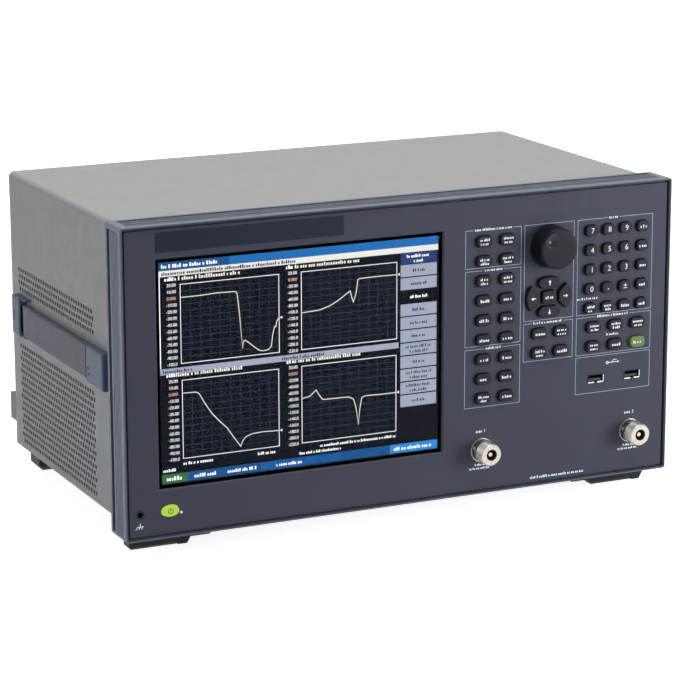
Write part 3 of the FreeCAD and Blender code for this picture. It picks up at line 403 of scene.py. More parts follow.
# each group of function keys: which of its keys, top row first, carry two lines of marks
TWO_LINE = {"channel_keys": "1111", "response_keys": "11000000", "stimulus_keys": "000010",
            "marker_keys": "0110", "state_keys": "11110", "unit_keys": "0000", "edit_keys": "1100"}
# each line of marks: its rise, its height, and the range of the key's room that it takes
TWO_LINES = ((1.4, 1.9, (0.58, 0.74)), (-1.5, 1.9, (0.42, 0.62)))
ONE_LINE = ((0, 2.2, (0.55, 0.72)),)
KEY_MARGINS = 2
SINGLE_WORDS = {"preset_key": 7.4, "key_enter": 7.0}
SINGLE_HEIGHT = 2.2
ARROW_TURNS = {"key_up": (0, 1), "key_down": (0, -1), "key_left": (-1, 0), "key_right": (1, 0)}
ARROW_SHAFT = ((-1.9, 0), (0.6, 0))
ARROW_HEAD = ((0.2, -1.3), (2.1, 0), (0.2, 1.3))
ARROW_WIDTH = 0.75
POWER_DROP = 0.1
POWER_RADIUS = 1.75
POWER_WIDTH = 0.55
POWER_ARC = (125, 415)
POWER_BAR = [(0, -0.2), (0, 2.3)]


def key_face(low, high):
    x, z = middle(low, high)
    return x, z, Relief(low.y, LEGEND_THICK)


def legend(relief, key, mat=PRINT_WHITE_GLOW, slot="key_black"):
    relief.piece(key + "_legend", mat, key, slot)


def numeral_legends():
    for n in range(10):
        name = "key_%d" % n
        x, z, relief = key_face(*local_box(name))
        relief.text(str(n), x + DIGIT_SHIFT, z, DIGIT_SIZE)
        legend(relief, name)
    x, z, relief = key_face(*local_box("key_point"))
    relief.ring(x, z - DOT_DROP, DOT_RADIUS, DOT_WIDTH)
    legend(relief, "key_point")
    x, z, relief = key_face(*local_box("key_sign"))
    for stroke in SIGN_STROKES:
        relief.line(shifted(stroke, x, z), SIGN_WIDTH)
    legend(relief, "key_sign")


def marked_legends():
    """Groups of function keys: one or two lines of marks on each."""
    for name, lines in TWO_LINE.items():
        boxes = islands(name)
        rng = random.Random(name)
        relief = Relief(boxes[0][0].y, LEGEND_THICK)
        for (low, high), two in zip(boxes, lines):
            x, z = middle(low, high)
            room = high.x - low.x - KEY_MARGINS
            for rise, height, share in TWO_LINES if two == "1" else ONE_LINE:
                relief.marks(x, z + rise, room * rng.uniform(*share), height, rng)
        legend(relief, name)
    for name, width in SINGLE_WORDS.items():
        x, z, relief = key_face(*local_box(name))
        relief.marks(x, z, width, SINGLE_HEIGHT, random.Random(name))
        legend(relief, name)


def arrow_legends():
    for name, (dx, dz) in ARROW_TURNS.items():
        x, z, relief = key_face(*local_box(name))

        def turned(along, across):
            return x + dx * along - dz * across, z + dz * along + dx * across

        relief.line([turned(*point) for point in ARROW_SHAFT], ARROW_WIDTH)
        relief.prism([turned(*point) for point in ARROW_HEAD])
        legend(relief, name)


def power_legend():
    x, z, relief = key_face(*local_box("power_key"))
    relief.ring(x, z - POWER_DROP, POWER_RADIUS, POWER_WIDTH, *POWER_ARC)
    relief.line(shifted(POWER_BAR, x, z), POWER_WIDTH)
    legend(relief, "power_key", PRINT_DARK, "power_green")


numeral_legends()
marked_legends()
arrow_legends()
power_legend()


# ---- Panel print ---------------------------------------------------------------------
PANEL_Y = local_box("title_strip")[1].y
PRINT_THICK = 0.04
LEFT_X = (46.3, 91.3)
MIDDLE_X = (94.2, 134.9)
RIGHT_X = (138.1, 201.0)
TOP_Z = 195.6
# each outlined block: its sides, its height range, and its heading's middle and width
BLOCKS = [
    (LEFT_X, (167.9, TOP_Z), 68.7, 30.0), (LEFT_X, (110.4, 165.8), 69.0, 14.0),
    (LEFT_X, (65.0, 108.2), 69.6, 12.4), (MIDDLE_X, (124.7, TOP_Z), None, 0),
    (MIDDLE_X, (94.6, 122.6), 114.0, 24.0), (RIGHT_X, (124.6, TOP_Z), 167.8, 7.6),
    (RIGHT_X, (94.4, 122.5), 168.6, 26.3), (RIGHT_X, (65.1, 92.7), None, 0),
]
OUTLINE_W = 0.42
HEADING_CLEAR = 1.2
HEADING_RISE = 0.2
HEADING_HEIGHT = 1.9
# each loose line of print: its middle's x and z, its width and its height
LOOSE_WORDS = [(147.5, 136.8, 18.5, 1.8), (169.0, 108.2, 11.0, 1.8), (123.6, 6.4, 44.8, 2.0)]


def panel_outlines():
    lines = Relief(PANEL_Y, PRINT_THICK)
    words = Relief(PANEL_Y, PRINT_THICK)
    rng = random.Random(5)
    for (x0, x1), (z0, z1), heading, width in BLOCKS:
        if heading is None:
            lines.line([(x0, z0), (x1, z0), (x1, z1), (x0, z1)], OUTLINE_W, closed=True)
            continue
        gap = width / 2 + HEADING_CLEAR
        corners = [(x1, z1), (x1, z0), (x0, z0), (x0, z1)]
        lines.line([(heading + gap, z1), *corners, (heading - gap, z1)], OUTLINE_W)
        words.marks(heading, z1 + HEADING_RISE, width, HEADING_HEIGHT, rng)
    for word in LOOSE_WORDS:
        words.marks(*word, rng)
    lines.piece("panel_outlines", PRINT_BLUE_GLOW)
    words.piece("panel_headings", PRINT_WHITE_GLOW)


PORTS = {"port_1_connector": "1", "port_2_connector": "2"}
# print round a port: across from its middle, up from its top or its foot, then width and height, or size
PORT_DIGIT = (2.6, 5.2, 3.4)
PORT_WORD = (-1.9, 5.2, 5.4, 2.0)
PORT_NOTES = ((0.5, -2.0, 11.5, 1.7), (-1.0, -4.7, 17.5, 1.7))
SYMBOL_LINE = 0.5
# the branching sign above the host sockets, measured from a place above their middle
HOST_AT = (-1.0, 7.8)
# across, radius and width of the ring that stands for its ball
HOST_BALL = (-4.6, 0.9, 0.7)
HOST_LINES = [((-3.7, 0), (4.0, 0)), ((-1.0, 0), (0.6, 1.8), (3.4, 1.8))]
HOST_TIP = [(4.0, -0.9), (5.6, 0), (4.0, 0.9)]
# the ground sign below the jack
GROUND_DROP = 5.2
GROUND_LINES = [((0, 2.4), (0, 0)), ((-2.3, 0), (2.3, 0))]
GROUND_TICKS = (-2.0, 0.0, 2.0)
TICK_LEAN = 1.2
TICK_DROP = 1.8
TICK_W = 0.45


def port_labels(relief):
    for name, digit in PORTS.items():
        low, high = local_box(name)
        x = middle(low, high)[0]
        across, up, size = PORT_DIGIT
        relief.text(digit, x + across, high.z + up, size)
        across, up, width, height = PORT_WORD
        relief.marks(x + across, high.z + up, width, height, random.Random(9))
        for seed, (across, up, width, height) in enumerate(PORT_NOTES, 11):
            relief.marks(x + across, low.z + up, width, height, random.Random(seed))


def host_symbol(relief):
    low, high = local_box("usb_sockets")
    x = middle(low, high)[0] + HOST_AT[0]
    z = high.z + HOST_AT[1]
    across, radius, width = HOST_BALL
    relief.ring(x + across, z, radius, width)
    for stroke in HOST_LINES:
        relief.line(shifted(stroke, x, z), SYMBOL_LINE)
    relief.prism(shifted(HOST_TIP, x, z))


def ground_symbol(relief):
    low, high = local_box("ground_jack")
    x = middle(low, high)[0]
    z = low.z - GROUND_DROP
    for stroke in GROUND_LINES:
        relief.line(shifted(stroke, x, z), SYMBOL_LINE)
    for reach in GROUND_TICKS:
        relief.line([(x + reach, z), (x + reach - TICK_LEAN, z - TICK_DROP)], TICK_W)


def panel_symbols():
    relief = Relief(PANEL_Y, PRINT_THICK)
    port_labels(relief)
    host_symbol(relief)
    ground_symbol(relief)
    relief.piece("panel_symbols", PRINT_WHITE_GLOW)


# ---- Small parts that the CAD leaves out, and pieces that paint shade and highlights ----
# A layer is given by its rear face and its thickness.
LAMP_AT = (0.5, -1.9)
LAMP_RADIUS = 1.0
LAMP_CORNERS = 16
LAMP_THICK = 0.5


def power_lamp():
    """A small clear lamp to the right of the power key."""
    low, high = local_box("power_key")
    lamp = Relief(PANEL_Y, LAMP_THICK)
    x = high.x + LAMP_AT[0]
    z = middle(low, high)[1] + LAMP_AT[1]
    angles = [2 * pi * k / LAMP_CORNERS for k in range(LAMP_CORNERS)]
    lamp.prism([(x + LAMP_RADIUS * cos(a), z + LAMP_RADIUS * sin(a)) for a in angles])
    lamp.piece("power_lamp", LAMP_CLEAR)


SHADE_SHEET_LAYER = (238.0, 178.0)
SHADE_SHEET_X = (208.8, 209.2)
SHADE_SHEET_Z = (14.0, 152.0)


def vent_liners():
    """Black sheets just inside the cover, painted shade, so that the side holes look into a shaded case."""
    sheets = Relief(*SHADE_SHEET_LAYER)
    near, far = SHADE_SHEET_X
    sheets.box(-far, -near, *SHADE_SHEET_Z)
    sheets.box(near, far, *SHADE_SHEET_Z)
    sheets.piece("vent_liners", VENT_SHADE, slot="fan_plastic")


BORE_SHADE_LAYER = (-5.1, 9.1)
BORE_SHADE_RADIUS = 3.86
BORE_SHADE_WALL = 0.5


def port_sleeves():
    """A dark sleeve in the mouth of each test port: painted shade on the bore's wall."""
    for name in PORTS:
        shade_tube = Relief(*BORE_SHADE_LAYER)
        shade_tube.ring(*middle(*local_box(name)), BORE_SHADE_RADIUS, BORE_SHADE_WALL)
        shade_tube.piece(name + "_bore_shade_tube", MAT["bead_white"], slot="bead_white")


THREAD_SETBACK = 0.7
THREAD_PITCH = 1.7
THREAD_TURNS = 5
THREAD_ROOT = 7.96
THREAD_CREST = 8.35
THREAD_CREST_AT = 0.55
THREAD_BORE = 7.6


def port_threads():
    """The coupling thread of each port, as rings with sloping flanks."""
    for name in PORTS:
        low, high = local_box(name)
        start = low.y + THREAD_SETBACK
        end = start + THREAD_PITCH * THREAD_TURNS
        profile = []
        for k in range(THREAD_TURNS):
            y = start + THREAD_PITCH * k
            profile += [(THREAD_ROOT, y), (THREAD_CREST, y + THREAD_PITCH * THREAD_CREST_AT)]
        profile += [(THREAD_ROOT, end), (THREAD_BORE, end), (THREAD_BORE, start)]
        lathe(name + "_thread", *middle(low, high), profile, THREAD_NICKEL_SHEEN, "case", "port_nickel")


# the rear sockets' layers are counted from the rear panel's own rear face
CORE_LAYER = (0.7, 1.2)
CORE_INSET = 2.2
DEPTH_LAYER = (-6.0, 2.0)
TALL_INSET = 1.8
LOW_INSET = 0.7
PIN_LAYER = (0.9, 0.3)
PIN_PITCH = 2.77
PIN_HALF = 0.45
PIN_MARGINS = 8
PIN_ROW_OFF = 1.4
PIN_ROWS = ((1, 0), (-1, 1))
# a socket as wide as it is high, within this much, is a round one
ROUND_WITHIN = 1
WIDE_SOCKET = 20
TALL_SOCKET = 10


def inset_box(relief, low, high, inset):
    relief.box(low.x + inset, high.x - inset, low.z + inset, high.z - inset)


def socket_pins(pins, low, high):
    """Two rows of pins, the lower one shorter by a pin."""
    across, up = middle(low, high)
    count = int((high.x - low.x - PIN_MARGINS) / PIN_PITCH)
    for row, spare in PIN_ROWS:
        z = up + row * PIN_ROW_OFF
        for k in range(count - spare):
            x = across + PIN_PITCH * (k - (count - spare - 1) / 2)
            pins.box(x - PIN_HALF, x + PIN_HALF, z - PIN_HALF, z + PIN_HALF)


def rear_socket_faces():
    """Dark faces, pins and depths of the rectangular sockets on the rear panel."""
    face = local_box("rear_panel")[1].y
    cores, depths, pins = [Relief(face + rear, thick) for rear, thick in (CORE_LAYER, DEPTH_LAYER, PIN_LAYER)]
    for low, high in islands("rear_connectors"):
        width = high.x - low.x
        height = high.z - low.z
        if abs(width - height) < ROUND_WITHIN:
            continue
        if width < WIDE_SOCKET:
            inset_box(depths, low, high, TALL_INSET if height > TALL_SOCKET else LOW_INSET)
            continue
        inset_box(cores, low, high, CORE_INSET)
        socket_pins(pins, low, high)
    cores.piece("rear_socket_cores", MAT["inlet_plastic"], slot="inlet_plastic")
    depths.piece("rear_socket_depths", MAT["inlet_plastic"], slot="inlet_plastic")
    pins.piece("rear_socket_pins", MAT["contact_gold"], slot="contact_gold")


DIMPLE_AT = (-5.9, 6.3)
DIMPLE_CENTRE_OUT = 5.75
DIMPLE_RADIUS = 7.69
DIMPLE_BACK = 7.85
DIMPLE_EDGE = radians(41)
DIMPLE_STEPS = 8
DIMPLE_PINHOLE = 0.04


def knob_dimple():
    """A polished skin in the knob's finger dimple."""
    low, high = local_box("knob")
    x, z = middle(low, high)
    centre_y = low.y - DIMPLE_CENTRE_OUT
    angles = [DIMPLE_EDGE * k / DIMPLE_STEPS for k in (DIMPLE_PINHOLE, *range(1, DIMPLE_STEPS + 1))]
    skin = [(DIMPLE_RADIUS * sin(angle), centre_y + DIMPLE_RADIUS * cos(angle)) for angle in angles]
    back = [(DIMPLE_BACK * sin(angle), centre_y + DIMPLE_BACK * cos(angle)) for angle in reversed(angles)]
    lathe("knob_dimple_skin", x + DIMPLE_AT[0], z + DIMPLE_AT[1], skin + back, DIMPLE_BLACK, "knob",
          "knob_black", smooth=True)


GROOVES = 4
GROOVE_FIRST = 5.4
GROOVE_PITCH = 4.1
GROOVE_WIDE = 1.7
GROOVE_REACH = 208.6
GROOVE_SINK = 0.4
GROOVE_PROUD = 0.05


def top_trim_grooves():
    """Black strips along the top trim's grooves between its broad ribs: painted shade of the grooves."""
    top = local_box("trim_strips")[1].z
    for k in range(GROOVES):
        y = GROOVE_FIRST + GROOVE_PITCH * k
        groove = Relief(y + GROOVE_WIDE, GROOVE_WIDE)
        groove.box(-GROOVE_REACH, GROOVE_REACH, top - GROOVE_SINK, top + GROOVE_PROUD)
        groove.piece("painted_groove_shade_%d" % (k + 1), MAT["display"], slot="trim_plastic")


FOOT_LAYER = (35.8, 10.9)
FOOT_SIDES = ((-168.0, -157.5), (202.0, 212.0))
FOOT_BOTTOM = -13.9
FOOT_SHOULDER = -8.0
FOOT_TOP = -0.3
FOOT_TAPER = 3.5


def foot_pads():
    """Pads that carry the front feet out to their full width."""
    pads = Relief(*FOOT_LAYER)
    for inner, outer in FOOT_SIDES:
        pads.prism([(inner, FOOT_BOTTOM), (inner, FOOT_TOP), (outer, FOOT_TOP), (outer, FOOT_SHOULDER),
                    (outer - FOOT_TAPER, FOOT_BOTTOM)])
    pads.piece("front_foot_pads", MAT["foot_plastic"], slot="foot_plastic")


SHELL_THICK = 0.12
SHELL_LIPS = ((-6.2, -1.2), (1.6, 6.1))
SHELL_LIP_HIGH = 0.8
SHELL_SIDE = 0.45
SHELL_CORNER = 0.5


def host_shells():
    """Bright strips on the lower and right folded edges of the two host sockets' steel shells: painted
    highlights where those edges catch the light.
    """
    shells = islands("usb_sockets")
    relief = Relief(shells[0][0].y, SHELL_THICK)
    for low, high in shells:
        x = middle(low, high)[0]
        for left, right in SHELL_LIPS:
            relief.box(x + left, x + right, low.z, low.z + SHELL_LIP_HIGH)
        relief.box(high.x - SHELL_SIDE, high.x, low.z + SHELL_CORNER, high.z - SHELL_CORNER)
    relief.piece("usb_shell_glints", SHELL_METAL_AND_GLINT, slot="socket_steel")


BUMPER_LAYER = (262.2, 14.0)
BUMPER_BOXES = ((203.0, 209.3, 25.3, 45.8), (203.0, 205.4, 197.0, 213.4))


def bumper_pads():
    """Rubber pads on the outer ends of the rear bumpers."""
    pads = Relief(*BUMPER_LAYER)
    for side in (-1, 1):
        for inner, outer, z0, z1 in BUMPER_BOXES:
            edges = (side * inner, side * outer)
            pads.box(min(edges), max(edges), z0, z1)
    pads.piece("bumper_pads", MAT["bumper_plastic"], slot="bumper_plastic")


panel_outlines()
panel_symbols()
power_lamp()
vent_liners()
port_sleeves()
port_threads()
rear_socket_faces()
knob_dimple()
top_trim_grooves()
foot_pads()
host_shells()
bumper_pads()


# ---- The screen's picture ------------------------------------------------------------
# Laid out in millimetres from the lower left corner of the lit area, and stretched to fit it.
SCREEN_W = 212.6
SCREEN_H = 157.0
GLASS_LOW, GLASS_HIGH = local_box("display_window")
LCD_RIM = 2.2
LCD_GAP = 0.3
LCD_SETBACK = 0.5
LCD_Y = GLASS_HIGH.y + LCD_SETBACK
SCREEN_X0 = GLASS_LOW.x + LCD_RIM + LCD_GAP
SCREEN_Z0 = GLASS_LOW.z + LCD_RIM + LCD_GAP
FIT_X = (GLASS_HIGH.x - GLASS_LOW.x - 2 * LCD_RIM - 2 * LCD_GAP) / SCREEN_W
FIT_Z = (GLASS_HIGH.z - GLASS_LOW.z - 2 * LCD_RIM - 2 * LCD_GAP) / SCREEN_H
LAYER = 0.03
LAYER_FILL = 0.8


def fitted(x, z):
    """A place in the picture, in the front's millimetres."""
    return SCREEN_X0 + x * FIT_X, SCREEN_Z0 + z * FIT_Z


class Screen(Relief):
    """One colour of the screen's picture; a higher layer lies nearer to the glass."""

    def __init__(self, layer):
        super().__init__(LCD_Y - LAYER * layer, LAYER * LAYER_FILL)

    def prism(self, outline):
        super().prism([fitted(x, z) for x, z in outline])

    def line(self, points, width, closed=False):
        super().line([fitted(x, z) for x, z in points], width, closed)

    def text(self, body, x, z, size):
        super().text(body, *fitted(x, z), size)

    def show(self, name, colour):
        self.piece(name, LIT[colour], slot="display")


COLOURS = {
    "black": (0.003, 0.004, 0.008), "plot": (0.003, 0.004, 0.009), "grid": (0.038, 0.048, 0.064),
    "white": (0.95, 0.97, 1.0), "cream": (0.80, 0.76, 0.62), "blue": (0.012, 0.125, 0.38),
    "menu": (0.68, 0.68, 0.64), "grey": (0.300, 0.325, 0.415), "navy": (0.02, 0.04, 0.14),
    "deep": (0.008, 0.070, 0.220), "green": (0.03, 0.13, 0.04), "cyan": (0.025, 0.20, 0.52),
    "ink": (0.02, 0.03, 0.05), "orange": (0.80, 0.42, 0.28),
}
LIT = {name: glow("screen_" + name, colour, 1.0) for name, colour in COLOURS.items()}

# each plot: left, right, bottom and top, its scale's first value and step, and its trace
PLOTS = [
    ((15.6, 89.0), (85.0, 140.8), 20, 10,
     [(15.6, 131.6), (30, 131.6), (42, 132.2), (56.5, 131.8), (57.6, 130), (59, 118), (61.3, 90.8),
      (61.8, 95.5), (63, 96.6), (66, 94.5), (70, 91), (74, 88), (77, 87.4), (80.5, 87.8), (83, 90), (84, 98),
      (85.5, 104), (86.5, 103.5), (87.2, 107.5), (89, 110)]),
    ((106.0, 180.0), (85.0, 140.8), 20, 20,
     [(106, 111.5), (120, 112.2), (128, 114.5), (135, 118), (141, 122), (143.5, 123.5), (145, 118),
      (146, 115.5), (148, 121), (149.5, 131), (151, 131.8), (166, 132), (180, 131.8)]),
    ((16.0, 88.4), (17.0, 73.0), 20, 10,
     [(16, 63.8), (26, 63.5), (28.5, 62), (33, 54), (38, 46.5), (44, 40), (49, 35), (53, 29), (56.5, 24),
      (59, 20.5), (60.5, 24), (63, 27), (68, 28.5), (76, 29), (88.4, 28.4)]),
    ((106.0, 179.5), (17.0, 73.0), 20, 20,
     [(106, 49.5), (112, 50.5), (117, 54.5), (119, 51), (122, 47), (130, 46.8), (142, 46.6), (146, 44.5),
      (148, 38), (149.8, 25.5), (151, 37), (152.5, 45), (156, 46), (168, 45.5), (179.5, 45.6)]),
]
GRID_COLUMNS = 10
GRID_ROWS = 12
GRID_W = 0.28
PLOT_FRAME_W = 0.42
TRACE_W = 0.52
POINTER_BACK = 2.4
POINTER_TIP = 0.6
POINTER_HALF = 1.1
CURSOR = [(0.4, 82.5), (0.4, 147.0)]
CURSOR_W = 0.7


def screen_ground():
    back = Screen(0)
    back.box(0, SCREEN_W, 0, SCREEN_H)
    back.show("screen_black", "black")
    plots = Screen(1)
    grid = Screen(2)
    frame_lines = Screen(3)
    traces = Screen(4)
    for (x0, x1), (z0, z1), _, _, trace in PLOTS:
        plots.box(x0, x1, z0, z1)
        for k in range(1, GRID_COLUMNS):
            x = x0 + (x1 - x0) * k / GRID_COLUMNS
            grid.line([(x, z0), (x, z1)], GRID_W)
        for k in range(1, GRID_ROWS):
            z = z0 + (z1 - z0) * k / GRID_ROWS
            grid.line([(x0, z), (x1, z)], GRID_W)
        frame_lines.line([(x0, z0), (x1, z0), (x1, z1), (x0, z1)], PLOT_FRAME_W, closed=True)
        traces.line(trace, TRACE_W)
        last = trace[-1][1]
        traces.prism([(x1 + POINTER_BACK, last - POINTER_HALF), (x1 + POINTER_BACK, last + POINTER_HALF),
                      (x1 + POINTER_TIP, last)])
    frame_lines.line(CURSOR, CURSOR_W)
    plots.show("screen_plots", "plot")
    grid.show("screen_grids", "grid")
    frame_lines.show("screen_plot_frames", "white")
    traces.show("screen_traces", "cream")


NUMERAL_AT = (-6.6, -0.2)
NUMERAL_SIZE = 3.1
# each line of marks: its middle's x and z, its width and its height; over a plot, from its top left corner
TRACE_NOTE = (18, 4.3, 55.0, 2.6)
TRACE_LABEL = (-8.5, 4.3, 6.0, 2.6)
FOOTNOTES = [(27, 13.4, 22.0, 2.2), (79, 13.4, 14.0, 2.2), (6.5, 9.6, 11.0, 2.2), (150, 13.4, 60.0, 2.0),
             (120, 9.6, 32.0, 2.0)]


def screen_scales():
    """Columns of numerals left of each plot, and the line of marks above it."""
    white = Screen(3)
    cream = Screen(3)
    orange = Screen(3)
    rng = random.Random(3)
    for (x0, _), (z0, z1), first, step, _ in PLOTS:
        for k in range(GRID_ROWS + 1):
            z = z1 - (z1 - z0) * k / GRID_ROWS
            value = first - step * k
            places = 3 if abs(value) < 10 else 2 if abs(value) < 100 else 1
            column = orange if value == 0 else white
            column.text("%.*f" % (places, value), x0 + NUMERAL_AT[0], z + NUMERAL_AT[1], NUMERAL_SIZE)
        for relief, (across, up, width, height) in ((cream, TRACE_NOTE), (white, TRACE_LABEL)):
            relief.marks(x0 + across, z1 + up, width, height, rng)
    for note in FOOTNOTES:
        white.marks(*note, rng)
    white.show("screen_numerals", "white")
    cream.show("screen_trace_notes", "cream")
    orange.show("screen_reference_marks", "orange")


TITLE_LOW = 151.4
TITLE_SPLIT = 52
FOOT_LOW, FOOT_HIGH = 0.3, 6.8
FOOT_GREEN = 19.2
BAR_LAYERS = {"blue": 1, "deep": 1, "menu": 1, "grey": 1, "green": 2, "cyan": 2}
# each bar: its colour, and its left, right, bottom and top
BARS = [
    ("blue", (TITLE_SPLIT, SCREEN_W, TITLE_LOW, SCREEN_H)), ("deep", (0, TITLE_SPLIT, TITLE_LOW, SCREEN_H)),
    ("menu", (0, SCREEN_W, 147.0, 151.2)), ("grey", (0, 181.5, 78.0, 82.3)),
    ("deep", (FOOT_GREEN, SCREEN_W, FOOT_LOW, FOOT_HIGH)), ("green", (0, FOOT_GREEN, FOOT_LOW, FOOT_HIGH)),
    ("cyan", (174.8, SCREEN_W, FOOT_LOW, FOOT_HIGH)), ("blue", (74, 104, 1.0, 6.2)),
    ("blue", (106, 136, 1.0, 6.2)),
]
# each line of marks on the bars: its middle's x and z, its width and its height
BAR_PRINT = [(23, 154.2, 42.0, 2.6), (9.4, 3.5, 12.0, 3.0), (32, 3.5, 16.0, 2.6), (60, 3.5, 22.0, 2.4),
             (96, 3.5, 20.0, 2.4), (193, 3.5, 30.0, 2.6)]
BAR_INK = [(52, 149.1, 100.0, 2.4), (13, 80.1, 22.0, 2.2), (108, 80.1, 34.0, 2.2)]


def screen_bars():
    """Title bar, menu bar, the bar between the plots and the bar along the bottom."""
    rng = random.Random(8)
    bars = {name: Screen(layer) for name, layer in BAR_LAYERS.items()}
    light = Screen(3)
    ink = Screen(3)
    for name, edges in BARS:
        bars[name].box(*edges)
    for line in BAR_PRINT:
        light.marks(*line, rng)
    for line in BAR_INK:
        ink.marks(*line, rng)
    for name, relief in bars.items():
        relief.show("screen_bars_" + name, name)
    light.show("screen_bar_print", "white")
    ink.show("screen_bar_ink", "ink")


SOFTKEY_X = (183.0, 211.6)
SOFTKEY_WORD_X = 197.3
SOFTKEY_HEADER_Z = (138.5, 146.7)
SOFTKEY_HEADER_WORDS = ((144.2, 19.0, 2.2), (140.6, 8.0, 2.2))
SOFTKEY_TOP = 138.1
SOFTKEY_PITCH = 9.55
SOFTKEY_GAP = 0.9
SOFTKEY_WORD_RISE = 0.4
SOFTKEY_COUNT = 11
SOFTKEY_PICKED = 2
SOFTKEY_LONG = (6, 8, 9)
# a long soft key's two lines: rise, width and height; a short one's line: the range of its width, its height
LONG_LINES = ((1.7, 20.0, 2.0), (-1.9, 14.0, 2.0))
SHORT_WIDTHS = (8, 16)
SHORT_HEIGHT = 2.2


def screen_softkeys():
    """The column of soft keys at the right: a header and eleven blocks, the third one picked."""
    rng = random.Random(21)
    header = Screen(1)
    header.box(*SOFTKEY_X, *SOFTKEY_HEADER_Z)
    header.show("screen_softkey_header", "navy")
    blocks = Screen(1)
    ink = Screen(3)
    light = Screen(3)
    for z, width, height in SOFTKEY_HEADER_WORDS:
        light.marks(SOFTKEY_WORD_X, z, width, height, rng)
    for k in range(SOFTKEY_COUNT):
        top = SOFTKEY_TOP - SOFTKEY_PITCH * k
        words = light if k == SOFTKEY_PICKED else ink
        if k != SOFTKEY_PICKED:
            blocks.box(*SOFTKEY_X, top - SOFTKEY_PITCH + SOFTKEY_GAP, top)
        z = top - SOFTKEY_PITCH / 2 + SOFTKEY_WORD_RISE
        if k in SOFTKEY_LONG:
            for rise, width, height in LONG_LINES:
                words.marks(SOFTKEY_WORD_X, z + rise, width, height, rng)
        else:
            words.marks(SOFTKEY_WORD_X, z, rng.uniform(*SHORT_WIDTHS), SHORT_HEIGHT, rng)
    blocks.show("screen_softkeys", "grey")
    ink.show("screen_softkey_ink", "ink")
    light.show("screen_softkey_print", "white")


screen_ground()
screen_scales()
screen_bars()
screen_softkeys()


# ---- Camera, floor and lights --------------------------------------------------------
# in metres, but for the eye, which is in the front's millimetres
LENS = 148.03
SENSOR_W = 36.0
LENS_SHIFT = (-0.00405, -0.0058)
FAR_CLIP = 100.0
EYE_AT = (-863.8, -1722.2, 590.7)
EYE_DOWN = 13.605
EYE_ROLL = 0.129
EYE_TURN = -25.29
PAPER_HALF = 6.0
PAPER_WIDER = 1.5
PAPER_BEND = 1.5
PAPER_STEPS = 16
PAPER_TOP = 6.0
PAPER_GLOW = 0.85
PAPER_DULL = (0.34, 0.35, 0.38, 1)
SKY_SEEN = (1.0, 1.0, 1.0, 1)
SKY_LIT = (0.90, 0.95, 1.08, 1)
SKY_POWER = 0.22
# each lamp: its place, what it points at, its size, its power and its colour
LAMPS = {
    "key_light": ((0.3, -0.3, 2.4), (0, 0, 0.2), (1.6, 1.4), 34, (1.0, 0.99, 0.965)),
    "right_light": ((0.80, -0.85, 0.20), (0.15, -0.12, 0.08), (0.5, 0.5), 5.6, (1.0, 1.0, 1.04)),
    "left_light": ((-2.0, -0.4, 1.0), (0, 0, 0.1), (1.2, 1.2), 7.4, (0.92, 0.96, 1.08)),
}


def two_sided(tree, seen, lit, target):
    """Show one shader to the eye and in reflections, and let another one light the scene."""
    path = node(tree, "ShaderNodeLightPath", (100, 400))
    either = node(tree, "ShaderNodeMath", (300, 400), operation="MAXIMUM")
    tree.links.new(path.outputs["Is Camera Ray"], either.inputs[0])
    tree.links.new(path.outputs["Is Glossy Ray"], either.inputs[1])
    mix = node(tree, "ShaderNodeMixShader", (600, 200))
    tree.links.new(either.outputs["Value"], mix.inputs[0])
    tree.links.new(lit, mix.inputs[1])
    tree.links.new(seen, mix.inputs[2])
    tree.links.new(mix.outputs["Shader"], target)


def paper():
    """White studio paper that throws back less light than it seems to."""
    mat = emitting(surface("floor_paper", (0.93, 0.93, 0.93), 0.8, mottle=0.004, bump=0.02, specular=0.1),
                   (1, 1, 1), PAPER_GLOW)
    tree = mat.node_tree
    dull = node(tree, "ShaderNodeBsdfDiffuse", (300, -200))
    dull.inputs["Color"].default_value = PAPER_DULL
    two_sided(tree, principled(mat).outputs["BSDF"], dull.outputs["BSDF"],
              tree.nodes["Material Output"].inputs["Surface"])
    return mat


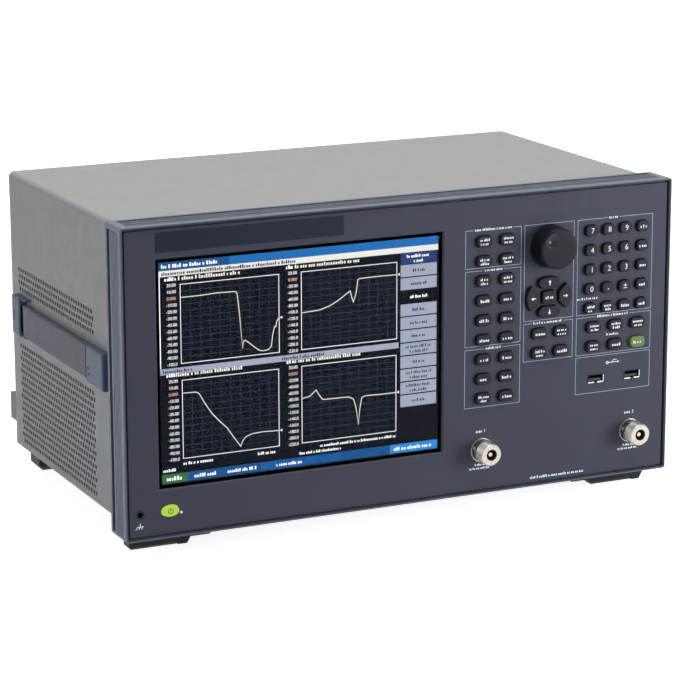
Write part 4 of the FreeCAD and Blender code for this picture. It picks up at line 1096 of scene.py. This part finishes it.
def backdrop():
    """Paper that runs from under the instrument up behind it."""
    bend_y = PAPER_HALF - PAPER_BEND
    path = [(-PAPER_HALF, 0.0), (bend_y, 0.0)]
    for k in range(1, PAPER_STEPS + 1):
        angle = pi / 2 * k / PAPER_STEPS
        path.append((bend_y + PAPER_BEND * sin(angle), PAPER_BEND - PAPER_BEND * cos(angle)))
    path.append((PAPER_HALF, PAPER_TOP))
    sheet = bmesh.new()
    rails = [[sheet.verts.new((side * PAPER_HALF * PAPER_WIDER, y, z)) for y, z in path] for side in (-1, 1)]
    for i in range(len(path) - 1):
        sheet.faces.new((rails[0][i], rails[1][i], rails[1][i + 1], rails[0][i + 1]))
    mesh = bpy.data.meshes.new("floor")
    sheet.to_mesh(mesh)
    sheet.free()
    mesh.materials.append(paper())
    for face in mesh.polygons:
        face.use_smooth = True
    ground = bpy.data.objects.new("floor", mesh)
    bpy.context.scene.collection.objects.link(ground)


def sky():
    world = bpy.data.worlds.new("studio")
    bpy.context.scene.world = world
    world.use_nodes = True
    tree = world.node_tree
    seen = tree.nodes["Background"]
    seen.inputs["Color"].default_value = SKY_SEEN
    seen.inputs["Strength"].default_value = 1.0
    lit = node(tree, "ShaderNodeBackground", (0, -200))
    lit.inputs["Color"].default_value = SKY_LIT
    lit.inputs["Strength"].default_value = SKY_POWER
    two_sided(tree, seen.outputs["Background"], lit.outputs["Background"],
              tree.nodes["World Output"].inputs["Surface"])


def lamps():
    for name, (at, target, size, power, colour) in LAMPS.items():
        light = bpy.data.lights.new(name, "AREA")
        light.shape = "RECTANGLE"
        light.size = size[0]
        light.size_y = size[1]
        light.energy = power
        light.color = colour
        lamp = bpy.data.objects.new(name, light)
        lamp.location = at
        aim = Vector(target) - Vector(at)
        lamp.rotation_euler = aim.to_track_quat("-Z", "Y").to_euler()
        bpy.context.scene.collection.objects.link(lamp)


def camera():
    data = bpy.data.cameras.new("camera")
    data.lens = LENS
    data.sensor_width = SENSOR_W
    data.shift_x, data.shift_y = LENS_SHIFT
    data.clip_end = FAR_CLIP
    eye = bpy.data.objects.new("camera", data)
    eye.location = spot(*EYE_AT)
    eye.rotation_euler = (radians(90 - EYE_DOWN), radians(EYE_ROLL), radians(EYE_TURN))
    bpy.context.scene.collection.objects.link(eye)
    bpy.context.scene.camera = eye


camera()
backdrop()
sky()
lamps()
bpy.context.scene.view_settings.view_transform = "Standard"
